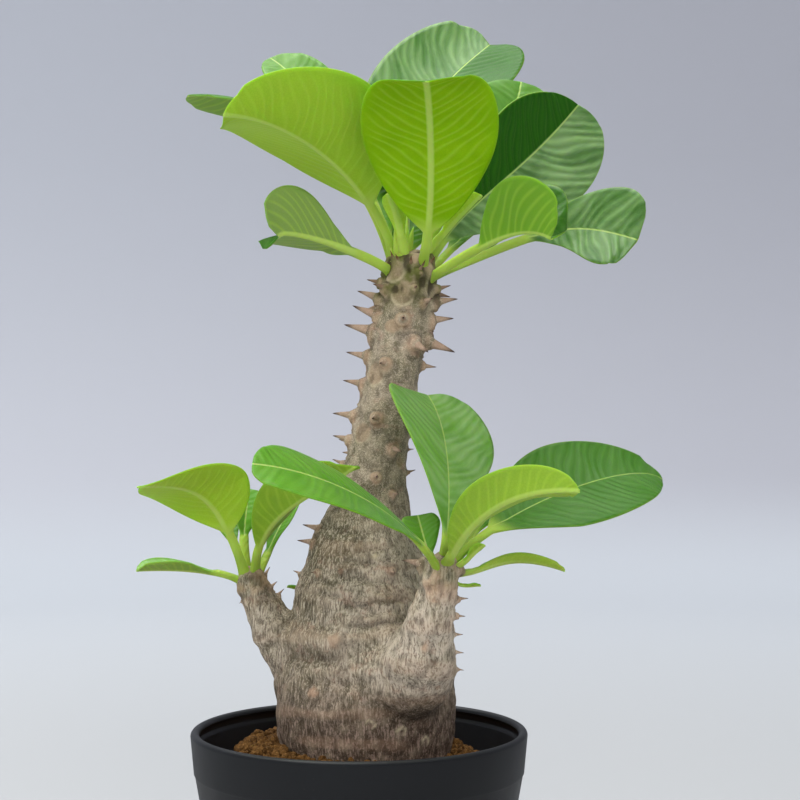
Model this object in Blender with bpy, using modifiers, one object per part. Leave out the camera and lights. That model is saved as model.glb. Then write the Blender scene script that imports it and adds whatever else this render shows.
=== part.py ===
"""Potted pachypodium: a swollen spiny stem with two side branches and three heads of leaves,
standing in soil in a round black nursery pot.

Frame: origin at the middle of the pot's base, X to the right, Y away from the viewer, Z up.
Tables of the plant are in millimetres, and everything is built in metres.
"""
import math
import random

import bmesh
import bpy
import numpy as np
from mathutils import Vector

MM = 0.001
GAP = 0.3               # clearance between pieces that touch
SEED = 7

# Pot, in millimetres
RIM_RADIUS = 52.5       # a 105 mm nursery pot, outside
POT_HEIGHT = 92.0
BASE_RADIUS = 37.0
WALL = 1.6
FLOOR = 2.0
FOOT_SLOPE = 1.0        # small slope where the wall meets the floor
COLLAR_HEIGHT = 13.0    # the thick band under the rim
COLLAR_STEP = 1.1       # how far the collar stands proud of the wall
RIM_ROUND = 0.9         # radius of the rolled edge
LEDGE_DEPTH = 5.0       # the small ledge inside, under the rim
LEDGE_STEP = 0.8
DRAIN_HOLES = 6
DRAIN_RADIUS = 3.5
DRAIN_CIRCLE = 24.0
POT_SIDES = 48

# Soil, in millimetres
SOIL_LEVEL = 82.4       # in the pot's middle
SOIL_LEAN = -0.035      # rise for each millimetre to the right
SOIL_FRONT_DROP = 1.5   # how much lower it is in front of the stem
GRAIN_HEIGHT = 1.3
GRAIN_WAVES = 7         # crossing waves that make the surface uneven
GRAIN_RATES = (0.9, 1.9)
SOIL_RINGS = 15
SOIL_SIDES = 60

# Stem, in millimetres: x, y, z and radius down each centre line
TRUNK = [
    (0, 0, 61, 0), (0, 0, 63, 13), (1, 0, 72, 22), (2, 0, 84, 26), (2, 0, 100, 28),
    (3, 0, 115, 26.5), (3, 0, 126, 24.8), (2, 0, 134, 22.5), (2, 0, 142, 19.5),
    (2.3, 0, 151, 16.4), (3.5, 0, 160, 12.8), (4.5, 0, 170, 10.3), (7.5, 0, 188, 8.8),
    (10, 0, 200, 8.4), (12, 0, 212, 8.4), (14, 0, 224, 9.2), (15, 0, 232, 9.8),
    (15.3, 0, 237, 8.6), (15.5, 0, 240, 5.8), (15.5, 0, 241.2, 0),
]
LEFT_BRANCH = [
    (-10, 0, 98, 0), (-13, 0, 104.5, 8.6), (-20, 0, 113.5, 7.8), (-25, 0, 120, 7.3), (-29, 0, 128, 6),
    (-32, 0, 134, 5), (-34, 0, 138, 4.8), (-35.2, 0, 141, 3.2), (-35.6, 0, 142, 0),
]
RIGHT_BRANCH = [
    (4, -4, 97, 0), (6, -7, 103, 10), (12, -16, 108, 12.5), (17, -24, 113, 12.3),
    (19, -30, 119, 10.6), (20.8, -34.5, 125, 8.4), (22, -38, 131.5, 6.5), (23.4, -40, 138, 5.7),
    (24.6, -41, 145, 5.6), (25.4, -41.6, 149, 4.2), (25.6, -41.8, 150.6, 0),
]
TRUNK_MESH = (58, 20)   # rings, segments
BRANCH_MESH = (16, 14)

# Spines: height on the centre line, azimuth from +X towards +Y, length and upward tilt
TRUNK_SPINES = [
    (230, 188, 4.5, 5), (228, 214, 5.0, 12), (226, 182, 7.5, 24), (221, 186, 8.0, 16),
    (216, 178, 8.5, 14), (209, 182, 7.0, 14), (200, 186, 5.5, 16), (190, 183, 7.5, 12),
    (182, 190, 5.0, 22), (174, 184, 4.0, 28), (154.5, 192, 6.0, 16),
    (229, -8, 4.5, 18), (225, 4, 7.5, 14), (219, -6, 7.0, 8), (212, -14, 8.5, -18),
    (212, -56, 6.5, -22), (205, 2, 5.0, -10), (179, 8, 2.2, 10), (172, 0, 3.0, 12),
    (234, -70, 4.0, 40), (229, -78, 3.5, 10), (225, -52, 4.5, 8), (220, -92, 6.0, 4),
    (206, -110, 5.5, 2), (189, -104, 5.5, 4), (180, -62, 5.0, -12), (171, -86, 4.5, 2),
    (166, -56, 4.0, 0), (150.5, 198, 6.0, 8), (142, -136, 3.5, 8), (143, -112, 2.5, 4),
    (143, -66, 4.0, -4), (140, 176, 3.0, 28),
]
LEFT_SPINES = [(138, 0, 3.0, 30), (134, -12, 3.0, 20), (131, 8, 3.0, 20), (134, 176, 1.5, -10),
               (137, 70, 2.5, 20), (131, 95, 2.5, 10)]
RIGHT_SPINES = [(138, 0, 3.6, 10), (133.5, -8, 3.4, 6), (127, 0, 2.4, 4), (121.5, 4, 2.6, 4),
                (116, 0, 2.4, 0), (139, 60, 3.2, 10), (132, 95, 3.0, 6), (146, 182, 6.5, 4)]
REAR_SPINE_LENGTH = (4.5, 8.0)
REAR_HEIGHTS = (168, 228)
REAR_SPACING = 3.6      # rise from one spine of the rear to the next
GOLDEN_ANGLE = 137.5
SPINE_SIDES = 6
SPINE_SINK = 1.6
SPINE_FOOT = 0.41       # radius of a spine's foot, as a share of its whole length
SPINE_WAIST = (0.42, 0.66)  # how far up a spine is pinched, and to what share of its cone
BUMP_HEIGHT = 1.1       # swelling under a spine of 7 mm
BUMP_SPREAD = 3.4
BUMP_LIMIT = 1.6        # most that neighbouring swellings may add up to

# Bud in the middle of the top head, in millimetres and degrees
BUD_PLACE = (13.2, -1.5, 245)
BUD_RADII = (2.6, 2.2, 9.5)
BUD_LEAN = (6, -8)

# Leaves, in millimetres
BLADE = 0.8             # thickness of the blade
STALK_THICK = 2.2       # thickness of the stalk
STALK_HALF = 1.5        # half the stalk's width
STALK_SHARE = 0.22      # a small leaf's stalk is no thicker than this share of its width
LEAF_ROWS = 11
STALK_FADE = 0.33       # share of a leaf's length over which the stalk thins into the blade
SMALL_LEAF = 13.0       # a leaf no wider than this has fewer rows
SMALL_LEAF_ROWS = 8
LEAF_COLUMNS = 4
TIP_ROWS = 0.35         # how much closer the rows lie at the tip
ROOT_DEPTH = 0.72       # how far in a leaf's root starts, as a share of its head's radii

# Each head: middle and radii of the dome that its leaves grow from
HEADS = {
    "crown": ((15, 0, 231), (9.8, 9.8, 9.5)),
    "left": ((-34, 0, 137.5), (4.8, 4.8, 4.2)),
    "right": ((25, -41, 145), (5.8, 5.8, 5.2)),
    "body": ((-12, 6, 134), (1, 1, 1)),
}

# Each leaf: root (azimuth, elevation) on its head, three points that the midrib bends by and
# ends at, the way its upper side faces, its width, and the share of its length that is stalk.
# fold and curl turn up its two halves, fullness and taper shape its outline, and lobe is how
# far each of the tip's two sides reaches past its notch.
LEAVES = {
    "crown": {
        "front": dict(root=(-38, 22), route=[(24.5, -17, 250), (21, -37.5, 286.5), (20, -54, 284.5)],
                      face=(0.03, 0.73, 0.68), width=40.7, stalk=0.21, fold=(6, 6), curl=(6, -11),
                      fullness=0.86, taper=0.53, lobe=(4.6, 9.4)),
        "front_left": dict(root=(-142, 22), route=[(10, 9.5, 258.5), (-15.5, -30, 279), (-38, -45, 276.5)],
                           face=(0.64, 0.67, 0.38), width=54, stalk=0.27, fold=(30, 12),
                           curl=(13, -12), fullness=1.07, taper=0.94, lobe=(8.7, 1.9)),
        "left": dict(root=(-166, 20), route=[(12, -5.5, 237), (-22, -19.5, 247.5), (-23.5, -24, 243.5)],
                     face=(-0.55, 0.8, 0.25), width=31.5, stalk=0.34, fold=(31, 74),
                     curl=(-5, -9), fullness=1.94, taper=0.76, lobe=(9.6, 5.6)),
        "left_back": dict(root=(156, 28), route=[(2, 10, 274), (-28, 7, 293), (-53, -5, 289)],
                          face=(0.3, 0.1, 1), width=28, stalk=0.3, fold=(-16, -16)),
        "back_left": dict(root=(120, 40), route=[(4, 12, 262), (-14, 30, 297.5), (-31, 42, 309.5)],
                          face=(0.3, -0.8, 0.5), width=24, stalk=0.25, fold=(12, 12), taper=0.5),
        "back": dict(root=(84, 30), route=[(8.5, 31.5, 283.5), (25.5, 53.5, 302), (44, 65, 318.5)],
                     face=(-0.31, -0.6, 0.74), width=48.6, stalk=0.24, fold=(15, -4), curl=(26, 6),
                     fullness=0.92, taper=0.47, lobe=(13.9, 11.7), open_to_tip=(12, 0.6)),
        "back_right": dict(root=(46, 38), route=[(26.5, 15, 262.5), (50, 20.5, 278), (53, 36.5, 300.5)],
                           face=(0.16, -0.76, 0.63), width=28.5, stalk=0.24, fold=(9, 2),
                           curl=(-16, -13), fullness=1.01, taper=0.4, lobe=(0.7, 0.4)),
        "right_back": dict(root=(22, 28), route=[(33, 3.5, 259), (48.5, 17.5, 263), (70, 16, 289.5)],
                           face=(0.18, -0.96, -0.23), width=41.5, stalk=0.14, fold=(18, 18),
                           curl=(8, 8), fullness=1.33, taper=0.69, lobe=(2.9, 8.6)),
        "right": dict(root=(8, 14), route=[(59.5, 9, 249), (64.5, 3.5, 252), (86, -6.5, 244)],
                      face=(-0.02, -0.91, 0.41), width=30.5, stalk=0.48, fold=(14, 14),
                      curl=(8, 8), fullness=1.41, taper=0.38, lobe=(0, 0)),
        "front_right": dict(root=(-22, -2), route=[(41, -17, 245), (50, -30, 246.5), (56.5, -38.5, 241.5)],
                            face=(-0.03, 0.82, 0.57), width=36, stalk=0.42, fold=(54, 25),
                            curl=(20, -10), fullness=1.38, taper=0.6, lobe=(-3, 8)),
        "rear": dict(root=(96, -2), route=[(16, 28, 246), (16, 55, 272), (15, 80, 280)],
                     face=(0, -0.5, 0.85), width=40, stalk=0.2, fold=(12, 12)),
        "rear_left": dict(root=(134, -4), route=[(9, 20, 258), (-2, 44, 282), (-18, 62, 286)],
                          face=(0.3, -0.5, 0.8), width=30, stalk=0.2, fold=(14, 14)),
        "rear_right": dict(root=(56, -4), route=[(34, 18, 248), (50, 38, 268), (64, 58, 270)],
                           face=(-0.3, -0.5, 0.8), width=30, stalk=0.2, fold=(14, 14)),
        "young_front": dict(root=(-96, 52), route=[(13, -6, 247), (12, -9, 252), (9, -11, 258)],
                            face=(0.1, 0.9, 0.3), width=8, stalk=0.4, fold=(32, 32)),
        "young_right": dict(root=(-4, 56), route=[(24, -3, 246), (31, -4, 251), (38, -5, 258)],
                            face=(-0.6, 0.5, 0.6), width=9, stalk=0.4, fold=(30, 30)),
    },
    "left": {
        "front": dict(root=(-124, 34), route=[(-44, -4, 167.5), (-49, -16, 169.5), (-63, -42, 169.5)],
                      face=(0.25, 0.7, 0.67), width=33, stalk=0.23, fold=(18, -2), curl=(7, 3),
                      fullness=1.11, taper=1.52, lobe=(1.2, 4.7)),
        "right": dict(root=(-40, 20), route=[(-34, -5.5, 161), (-11.5, -22, 165.5), (-0.5, -32.5, 175)],
                      face=(-0.65, 0.75, 0.13), width=26, stalk=0.16, fold=(36, 28),
                      curl=(-6, -8), fullness=1.12, taper=0.76, lobe=(1.3, 0)),
        "low": dict(root=(172, 2), route=[(-44, 0, 142), (-56, -2, 142.5), (-69, -6, 141.8)],
                    face=(0, 0, 1), width=12, stalk=0.25, fold=(27, 27)),
        "back": dict(root=(120, 60), route=[(-38, 5, 150), (-36, 8, 157), (-36, 16, 166)],
                     face=(0.2, -0.8, 0.5), width=11, stalk=0.4),
        "rear": dict(root=(130, 0), route=[(-40, 14, 152), (-50, 32, 164), (-58, 46, 166)],
                     face=(0.3, -0.4, 0.9), width=18, stalk=0.25, fold=(18, 18)),
        "rear_right": dict(root=(50, 10), route=[(-29, 10, 148), (-24, 20, 158), (-21, 28, 163)],
                           face=(-0.3, -0.4, 0.9), width=10, stalk=0.25, fold=(18, 18)),
    },
    "right": {
        "front_left": dict(root=(-120, 20), route=[(14, -66, 165), (-9, -91, 176.5), (-25.5, -97.5, 178)],
                           face=(-0.04, -0.68, 0.73), width=29.5, stalk=0.14, fold=(7, -4),
                           curl=(7, -13), fullness=0.99, taper=0.52, lobe=(6.4, -1.6)),
        "up": dict(root=(84, 60), route=[(26.5, -52, 157.5), (29.5, -30.5, 183.5), (21, -20, 196)],
                   face=(0.61, -0.76, -0.2), width=42, stalk=0.12, fold=(5, 7), curl=(-5, -3),
                   fullness=1.76, taper=0.64, lobe=(9, 4.9)),
        "front": dict(root=(-68, 40), route=[(30.5, -69.5, 160.5), (40, -78, 171.5), (60, -86.5, 170.5)],
                      face=(-0.18, 0.88, 0.45), width=19, stalk=0.08, fold=(43, 35),
                      curl=(-7, -24), fullness=1.44, taper=0.92, lobe=(3.4, 6.8)),
        "side": dict(root=(4, 46), route=[(41.5, -42, 163.5), (84.5, -13.5, 177.5), (93.5, -8, 170)],
                     face=(-0.5, -0.5, 0.71), width=38, stalk=0.18, fold=(20, -11),
                     curl=(15, -4), fullness=0.9, taper=0.77, lobe=(1, -1.2)),
        "low": dict(root=(8, -22), route=[(41.5, -14, 142.5), (44, -18, 149.5), (62.5, -19, 143)],
                    face=(-0.46, 0.09, 0.89), width=7.2, stalk=0.2, fold=(34, 41)),
        "back": dict(root=(132, 6), route=[(20.5, -35, 150), (19.5, -30, 155), (18, -23, 160)],
                     face=(0, -0.7, 0.7), width=12, stalk=0.2),
        "rear": dict(root=(72, 24), route=[(34, -24, 158), (52, -8, 168), (66, 4, 169)],
                     face=(0, -0.4, 0.9), width=19, stalk=0.25, fold=(18, 18)),
        "small": dict(root=(-20, 10), route=[(32, -43, 148), (34, -44, 151), (37, -45, 153)],
                      face=(-0.4, 0.5, 0.7), width=5, stalk=0.35),
        "tiny": dict(root=(-10, -50), route=[(31, -41, 140), (33, -41, 141), (36, -42, 141)],
                     face=(-0.2, 0.2, 1), width=3.4, stalk=0.3),
    },
    "body": {
        "sprout": dict(root=(160, 0), route=[(-17, 8, 134), (-20, 8, 135), (-23, 7, 135.5)],
                       face=(0, 0, 1), width=3.6, stalk=0.4),
    },
}

# Materials: colour, roughness
BARK = ((0.27, 0.22, 0.16), 0.85)
LEAF = ((0.12, 0.30, 0.04), 0.38)
SOIL = ((0.22, 0.11, 0.035), 0.95)
PLASTIC = ((0.018, 0.019, 0.022), 0.5)


def clear_scene():
    for thing in list(bpy.data.objects):
        bpy.data.objects.remove(thing, do_unlink=True)


def new_collection(name):
    group = bpy.data.collections.new(name)
    bpy.context.scene.collection.children.link(group)
    return group


def new_material(name, look):
    colour, roughness = look
    material = bpy.data.materials.new(name)
    material.use_nodes = True
    shader = material.node_tree.nodes["Principled BSDF"]
    shader.inputs["Base Color"].default_value = (*colour, 1.0)
    shader.inputs["Roughness"].default_value = roughness
    shader.inputs["Metallic"].default_value = 0.0
    return material


def take(obj, name, group, material=None):
    """Name an object that an operator has just added, and move it to its collection."""
    obj.name = name
    obj.data.name = name
    for old in list(obj.users_collection):
        old.objects.unlink(obj)
    group.objects.link(obj)
    if material:
        obj.data.materials.clear()
        obj.data.materials.append(material)
    return obj


def hide_cutter(obj):
    obj.hide_render = True
    obj.display_type = "WIRE"


def settle(obj):
    """Replace an object's mesh by its evaluated one, with its modifiers done."""
    bpy.context.view_layer.update()
    graph = bpy.context.evaluated_depsgraph_get()
    mesh = bpy.data.meshes.new_from_object(obj.evaluated_get(graph))
    old = obj.data
    obj.modifiers.clear()
    obj.data = mesh
    bpy.data.meshes.remove(old)
    mesh.name = obj.name


def smooth(obj, angle=60):
    obj.data.shade_smooth()
    obj.data.set_sharp_from_angle(angle=math.radians(angle))


def boolean(obj, other, operation="DIFFERENCE"):
    cut = obj.modifiers.new(operation.lower(), "BOOLEAN")
    cut.operation = operation
    cut.object = other


def unit(rows):
    return rows / np.linalg.norm(rows, axis=-1, keepdims=True)


def direction(azimuth, elevation=0.0):
    az, el = math.radians(azimuth), math.radians(elevation)
    return np.array([math.cos(el) * math.cos(az), math.cos(el) * math.sin(az), math.sin(el)])


def along(line, share):
    """Centre and radius at shares of a centre line's length, on a smooth curve."""
    line = np.array(line, float)
    steps = np.linalg.norm(np.diff(line[:, :3], axis=0), axis=1)
    reach = np.concatenate([[0], np.cumsum(steps)]) / steps.sum()
    slope = np.gradient(line, reach, axis=0)
    share = np.clip(np.atleast_1d(share), 0, 1)
    i = np.clip(np.searchsorted(reach, share, side="right") - 1, 0, len(reach) - 2)
    span = (reach[i + 1] - reach[i])[:, None]
    t = (share - reach[i])[:, None] / span
    value = ((1 + 2 * t) * (1 - t) ** 2 * line[i] + t * (1 - t) ** 2 * span * slope[i]
             + t * t * (3 - 2 * t) * line[i + 1] + t * t * (t - 1) * span * slope[i + 1])
    return value[:, :3], np.maximum(value[:, 3], 0)


def frames(line, share):
    """Unit vectors along the line, to its right and behind it."""
    step = 0.004
    ahead, _ = along(line, np.asarray(share) + step)
    behind, _ = along(line, np.asarray(share) - step)
    forward = unit(ahead - behind)
    right = np.array([1.0, 0, 0]) - forward * forward[:, :1]
    right = unit(right)
    return forward, right, np.cross(forward, right)


def share_at_height(line, height):
    shares = np.linspace(0, 1, 401)
    centres, _ = along(line, shares)
    return float(np.interp(height, centres[:, 2], shares))


def seat_on_stem(line, height, azimuth):
    """A point on the stem's side, the way out of it there, and the way along it."""
    share = share_at_height(line, height)
    centre, radius = along(line, share)
    forward, right, back = frames(line, [share])
    az = math.radians(azimuth)
    out = math.cos(az) * right[0] + math.sin(az) * back[0]
    return centre[0] + radius[0] * out, out, forward[0]


def rear_spines():
    """Spines of the side that is turned away, on a golden-angle spiral."""
    draw = random.Random(SEED)
    spines = []
    low, high = REAR_HEIGHTS
    for i in range(int((high - low) / REAR_SPACING)):
        azimuth = (i * GOLDEN_ANGLE) % 150 + 16
        length = draw.uniform(*REAR_SPINE_LENGTH)
        spines.append((high - i * REAR_SPACING, azimuth, length, draw.uniform(-12, 20)))
    return spines


def swelling(points, line, spines):
    """How far the stem swells at each point round the roots of its spines."""
    rise = np.zeros(len(points))
    for height, azimuth, length, _tilt in spines:
        seat, _out, _up = seat_on_stem(line, height, azimuth)
        distance = np.linalg.norm(points - seat, axis=1)
        rise += BUMP_HEIGHT * (length / 7) * np.exp(-(distance / BUMP_SPREAD) ** 2)
    return np.minimum(rise, BUMP_LIMIT)


def grow_stem(name, line, mesh_size, group, material, spines=(), extra=0.0):
    """A UV sphere drawn out along a centre line, so that both its ends are closed and round."""
    rings, segments = mesh_size
    bpy.ops.mesh.primitive_uv_sphere_add(segments=segments, ring_count=rings, radius=1)
    stem = take(bpy.context.object, name, group, material)
    points = np.array([v.co[:] for v in stem.data.vertices])
    share = 1 - np.arccos(np.clip(points[:, 2], -1, 1)) / math.pi
    angle = np.arctan2(points[:, 1], points[:, 0])
    centre, radius = along(line, share)
    _forward, right, back = frames(line, share)
    out = np.cos(angle)[:, None] * right + np.sin(angle)[:, None] * back
    at_pole = (share < 1e-6) | (share > 1 - 1e-6)
    side = centre + radius[:, None] * out
    radius = radius + np.where(at_pole, 0, swelling(side, line, spines) + extra)
    place = centre + radius[:, None] * out
    place[share < 1e-6, 2] -= extra
    place[share > 1 - 1e-6, 2] += extra
    for vertex, point in zip(stem.data.vertices, place):
        vertex.co = point * MM
    smooth(stem)
    return stem


def add_spine(seat, out, up, length, tilt, group):
    """A cone with a broad foot, sunk into the bark."""
    lean = math.radians(tilt)
    aim = Vector(math.cos(lean) * out + math.sin(lean) * up)
    foot = SPINE_FOOT * (length + SPINE_SINK)
    depth = length + SPINE_SINK
    bpy.ops.mesh.primitive_cone_add(vertices=SPINE_SIDES, radius1=foot * MM, radius2=0,
                                    depth=depth * MM)
    spine = take(bpy.context.object, "spine", group)
    bm = bmesh.new()
    bm.from_mesh(spine.data)
    up_share, pinch = SPINE_WAIST
    waist = (up_share - 0.5) * depth * MM
    everything = bm.verts[:] + bm.edges[:] + bm.faces[:]
    bmesh.ops.bisect_plane(bm, geom=everything, plane_co=(0, 0, waist), plane_no=(0, 0, 1))
    for vertex in bm.verts:
        if abs(vertex.co.z - waist) < 0.01 * MM:
            vertex.co.x *= pinch
            vertex.co.y *= pinch
    bm.to_mesh(spine.data)
    bm.free()
    middle = Vector(seat) + aim * (depth / 2 - SPINE_SINK)
    spine.rotation_mode = "QUATERNION"
    spine.rotation_quaternion = aim.to_track_quat("Z", "Y")
    spine.location = middle * MM


def add_bud(group):
    """The folded young leaves in the middle of the top head, grown as one with the stem."""
    bpy.ops.mesh.primitive_uv_sphere_add(segments=8, ring_count=8, radius=1)
    bud = take(bpy.context.object, "bud", group)
    bud.scale = Vector(BUD_RADII) * MM
    bud.location = Vector(BUD_PLACE) * MM
    bud.rotation_euler = (math.radians(BUD_LEAN[0]), math.radians(BUD_LEAN[1]), 0)


def build_stem(group, material):
    growth = new_collection("growth")
    trunk_spines = TRUNK_SPINES + rear_spines()
    stem = grow_stem("stem", TRUNK, TRUNK_MESH, group, material, trunk_spines)
    grow_stem("branch_left", LEFT_BRANCH, BRANCH_MESH, growth, material, LEFT_SPINES)
    grow_stem("branch_right", RIGHT_BRANCH, BRANCH_MESH, growth, material, RIGHT_SPINES)
    rows = [(TRUNK, trunk_spines), (LEFT_BRANCH, LEFT_SPINES), (RIGHT_BRANCH, RIGHT_SPINES)]
    for line, spines in rows:
        for height, azimuth, length, tilt in spines:
            seat, out, up = seat_on_stem(line, height, azimuth)
            add_spine(seat, out, up, length, tilt, growth)
    add_bud(growth)
    union = stem.modifiers.new("union", "BOOLEAN")
    union.operation = "UNION"
    union.operand_type = "COLLECTION"
    union.collection = growth
    settle(stem)
    for piece in list(growth.objects):
        bpy.data.objects.remove(piece, do_unlink=True)
    bpy.data.collections.remove(growth)
    smooth(stem, 35)
    return stem


def bezier(points, t):
    """Points and directions on a cubic curve."""
    p = np.array(points, float)
    t = t[:, None]
    s = 1 - t
    place = s**3 * p[0] + 3 * s * s * t * p[1] + 3 * s * t * t * p[2] + t**3 * p[3]
    way = s * s * (p[1] - p[0]) + 2 * s * t * (p[2] - p[1]) + t * t * (p[3] - p[2])
    return place, unit(way)


def even_steps(points, shares):
    """Curve parameters at shares of the curve's length."""
    t = np.linspace(0, 1, 201)
    place, _way = bezier(points, t)
    reach = np.concatenate([[0], np.cumsum(np.linalg.norm(np.diff(place, axis=0), axis=1))])
    return np.interp(shares * reach[-1], reach, t)


def outline(u, fullness, taper):
    """Half-width of a blade, from 0 to 1, at shares u of its length."""
    u = np.clip(u, 0, 1)
    peak = fullness / (fullness + taper)
    return u**fullness * (1 - u) ** taper / (peak**fullness * (1 - peak) ** taper)


def leaf_points(head, leaf, k, v):
    """Places on a leaf at shares k along its midrib and v across it, from -1 to 1."""
    centre, radii = HEADS[head]
    root = np.array(centre) + ROOT_DEPTH * np.array(radii) * direction(*leaf["root"])
    line = [root, *leaf["route"]]
    place, way = bezier(line, even_steps(line, k))
    face = np.array(leaf["face"], float)
    normal = unit(face - (way @ face)[:, None] * way)
    side = np.cross(way, normal)
    u = (k - leaf["stalk"]) / (1 - leaf["stalk"])
    blade = leaf["width"] / 2 * outline(u, leaf.get("fullness", 1.1), leaf.get("taper", 0.45))
    stalk = min(STALK_HALF, 0.3 * leaf["width"])
    half = np.where(u < 0, stalk, np.maximum(blade, stalk * np.clip(1 - u, 0.27, 1)))
    steepness, at_tip = leaf.get("open_to_tip", (6, 0.3))
    opening = np.clip(3 * u, 0, 1) * np.clip(steepness * (1 - u), at_tip, 1)
    left = v < 0
    fold = np.radians(np.where(left, *leaf.get("fold", (15, 15)))) * opening
    curl = np.radians(np.where(left, *leaf.get("curl", (5, 5)))) * opening + 1e-4
    across = half * (np.sin(fold + curl * abs(v)) - np.sin(fold)) / curl
    lift = half * (np.cos(fold) - np.cos(fold + curl * abs(v))) / curl
    lobe = np.where(left, *leaf.get("lobe", (0, 0)))
    reach = lobe * half * abs(v) / (leaf["width"] / 2) * np.clip(u, 0, 1) ** 4
    spread = side * (np.sign(v) * across)[:, None] + way * reach[:, None]
    return place + spread + normal * lift[:, None]


def stoutness(leaf, k, v):
    """How nearly a place on a leaf is as thick as its stalk, from 0 to 1."""
    past_stalk = (k - leaf["stalk"]) / STALK_FADE
    fading = np.clip(1 - past_stalk, 0, 1) * np.clip(1 - abs(v), 0.25, 1)
    return np.where(past_stalk <= 0, 1, fading)


def build_leaf(head, name, leaf, stump, group, material):
    """A grid bent to the leaf's form, thickened, with its root cut to the stem's shape."""
    rows = SMALL_LEAF_ROWS if leaf["width"] <= SMALL_LEAF else LEAF_ROWS
    bpy.ops.mesh.primitive_grid_add(x_subdivisions=rows, y_subdivisions=LEAF_COLUMNS, size=2)
    blade = take(bpy.context.object, f"leaf_{head}_{name}", group, material)
    flat = np.array([v.co[:] for v in blade.data.vertices])
    k = (flat[:, 0] + 1) / 2
    k = k + TIP_ROWS * k * (1 - k)
    v = flat[:, 1]
    place = leaf_points(head, leaf, k, v)
    for vertex, point in zip(blade.data.vertices, place):
        vertex.co = point * MM
    stout = blade.vertex_groups.new(name="stout")
    for vertex, weight in zip(blade.data.vertices, stoutness(leaf, k, v)):
        stout.add([vertex.index], float(weight), "REPLACE")
    triangles = blade.modifiers.new("triangles", "TRIANGULATE")
    triangles.quad_method = "FIXED"
    shell = blade.modifiers.new("thickness", "SOLIDIFY")
    shell.thickness = min(STALK_THICK, STALK_SHARE * leaf["width"]) * MM
    shell.thickness_vertex_group = BLADE * MM / shell.thickness
    shell.vertex_group = "stout"
    shell.offset = 0
    boolean(blade, stump)
    smooth(blade)
    return blade


def build_leaves(group, cutters, material):
    lines = {"crown": (TRUNK, TRUNK_MESH, TRUNK_SPINES + rear_spines()),
             "left": (LEFT_BRANCH, BRANCH_MESH, LEFT_SPINES),
             "right": (RIGHT_BRANCH, BRANCH_MESH, RIGHT_SPINES)}
    stumps = {}
    for head, (line, mesh_size, spines) in lines.items():
        stump = grow_stem(f"stump_{head}", line, mesh_size, cutters, None, spines, GAP)
        hide_cutter(stump)
        stumps[head] = stump
    stumps["body"] = stumps["crown"]
    for head, leaves in LEAVES.items():
        for name, leaf in leaves.items():
            build_leaf(head, name, leaf, stumps[head], group, material)
    return stumps


def turn(name, outline_points, sides, group, material):
    """A solid of revolution about Z, from points (radius, height) in millimetres."""
    mesh = bpy.data.meshes.new(name)
    points = [(r * MM, 0, z * MM) for r, z in outline_points]
    edges = [(i, i + 1) for i in range(len(points) - 1)]
    mesh.from_pydata(points, edges, [])
    obj = bpy.data.objects.new(name, mesh)
    group.objects.link(obj)
    mesh.materials.append(material)
    screw = obj.modifiers.new("turn", "SCREW")
    screw.steps = sides
    screw.render_steps = sides
    screw.use_merge_vertices = True
    screw.merge_threshold = 0.00001
    settle(obj)
    return obj


def wall_radius(z):
    """Outer radius of the pot's plain wall under the collar."""
    top = POT_HEIGHT - COLLAR_HEIGHT
    return BASE_RADIUS + (RIM_RADIUS - COLLAR_STEP - BASE_RADIUS) * z / top


def inner_radius(z):
    return wall_radius(z) - WALL


def rim_arc(steps=4):
    """The rolled edge, from its inner side over to its outer side."""
    middle_r = RIM_RADIUS - RIM_ROUND
    middle_z = POT_HEIGHT - RIM_ROUND
    angles = [math.pi * (1 - i / steps) for i in range(steps + 1)]
    return [(middle_r + RIM_ROUND * math.cos(a), middle_z + RIM_ROUND * math.sin(a)) for a in angles]


def build_pot(group, cutters, material):
    top = POT_HEIGHT - COLLAR_HEIGHT
    ledge = POT_HEIGHT - LEDGE_DEPTH
    low = FLOOR + FOOT_SLOPE
    profile = [(0, FLOOR), (inner_radius(FLOOR) - FOOT_SLOPE, FLOOR), (inner_radius(low), low),
               (inner_radius(top), top), (RIM_RADIUS - 2 * RIM_ROUND - LEDGE_STEP, ledge),
               (RIM_RADIUS - 2 * RIM_ROUND, ledge + LEDGE_STEP)]
    profile += rim_arc()
    profile += [(RIM_RADIUS, top + 0.6), (RIM_RADIUS - 0.5, top), (wall_radius(top), top - 0.4),
                (wall_radius(low), low), (BASE_RADIUS - 0.6, 0), (0, 0)]
    pot = turn("pot", profile, POT_SIDES, group, material)
    drains = new_collection("drains")
    for i in range(DRAIN_HOLES):
        turned = direction(360 * (i + 0.5) / DRAIN_HOLES)
        bpy.ops.mesh.primitive_cylinder_add(vertices=16, radius=DRAIN_RADIUS * MM,
                                            depth=4 * FLOOR * MM, location=turned * DRAIN_CIRCLE * MM)
        take(bpy.context.object, f"drain_{i}", drains)
    holes = pot.modifiers.new("drains", "BOOLEAN")
    holes.operand_type = "COLLECTION"
    holes.collection = drains
    settle(pot)
    for cutter in list(drains.objects):
        drains.objects.unlink(cutter)
        cutters.objects.link(cutter)
        hide_cutter(cutter)
    bpy.data.collections.remove(drains)
    smooth(pot, 30)
    return pot


def soil_height(x, y):
    """Level of the soil before its grains: nearly flat, and a little lower at the front."""
    front = min(max(-1.6 * y / max(math.hypot(x, y), 10), 0), 1)
    return SOIL_LEVEL + SOIL_LEAN * x - SOIL_FRONT_DROP * front


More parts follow.
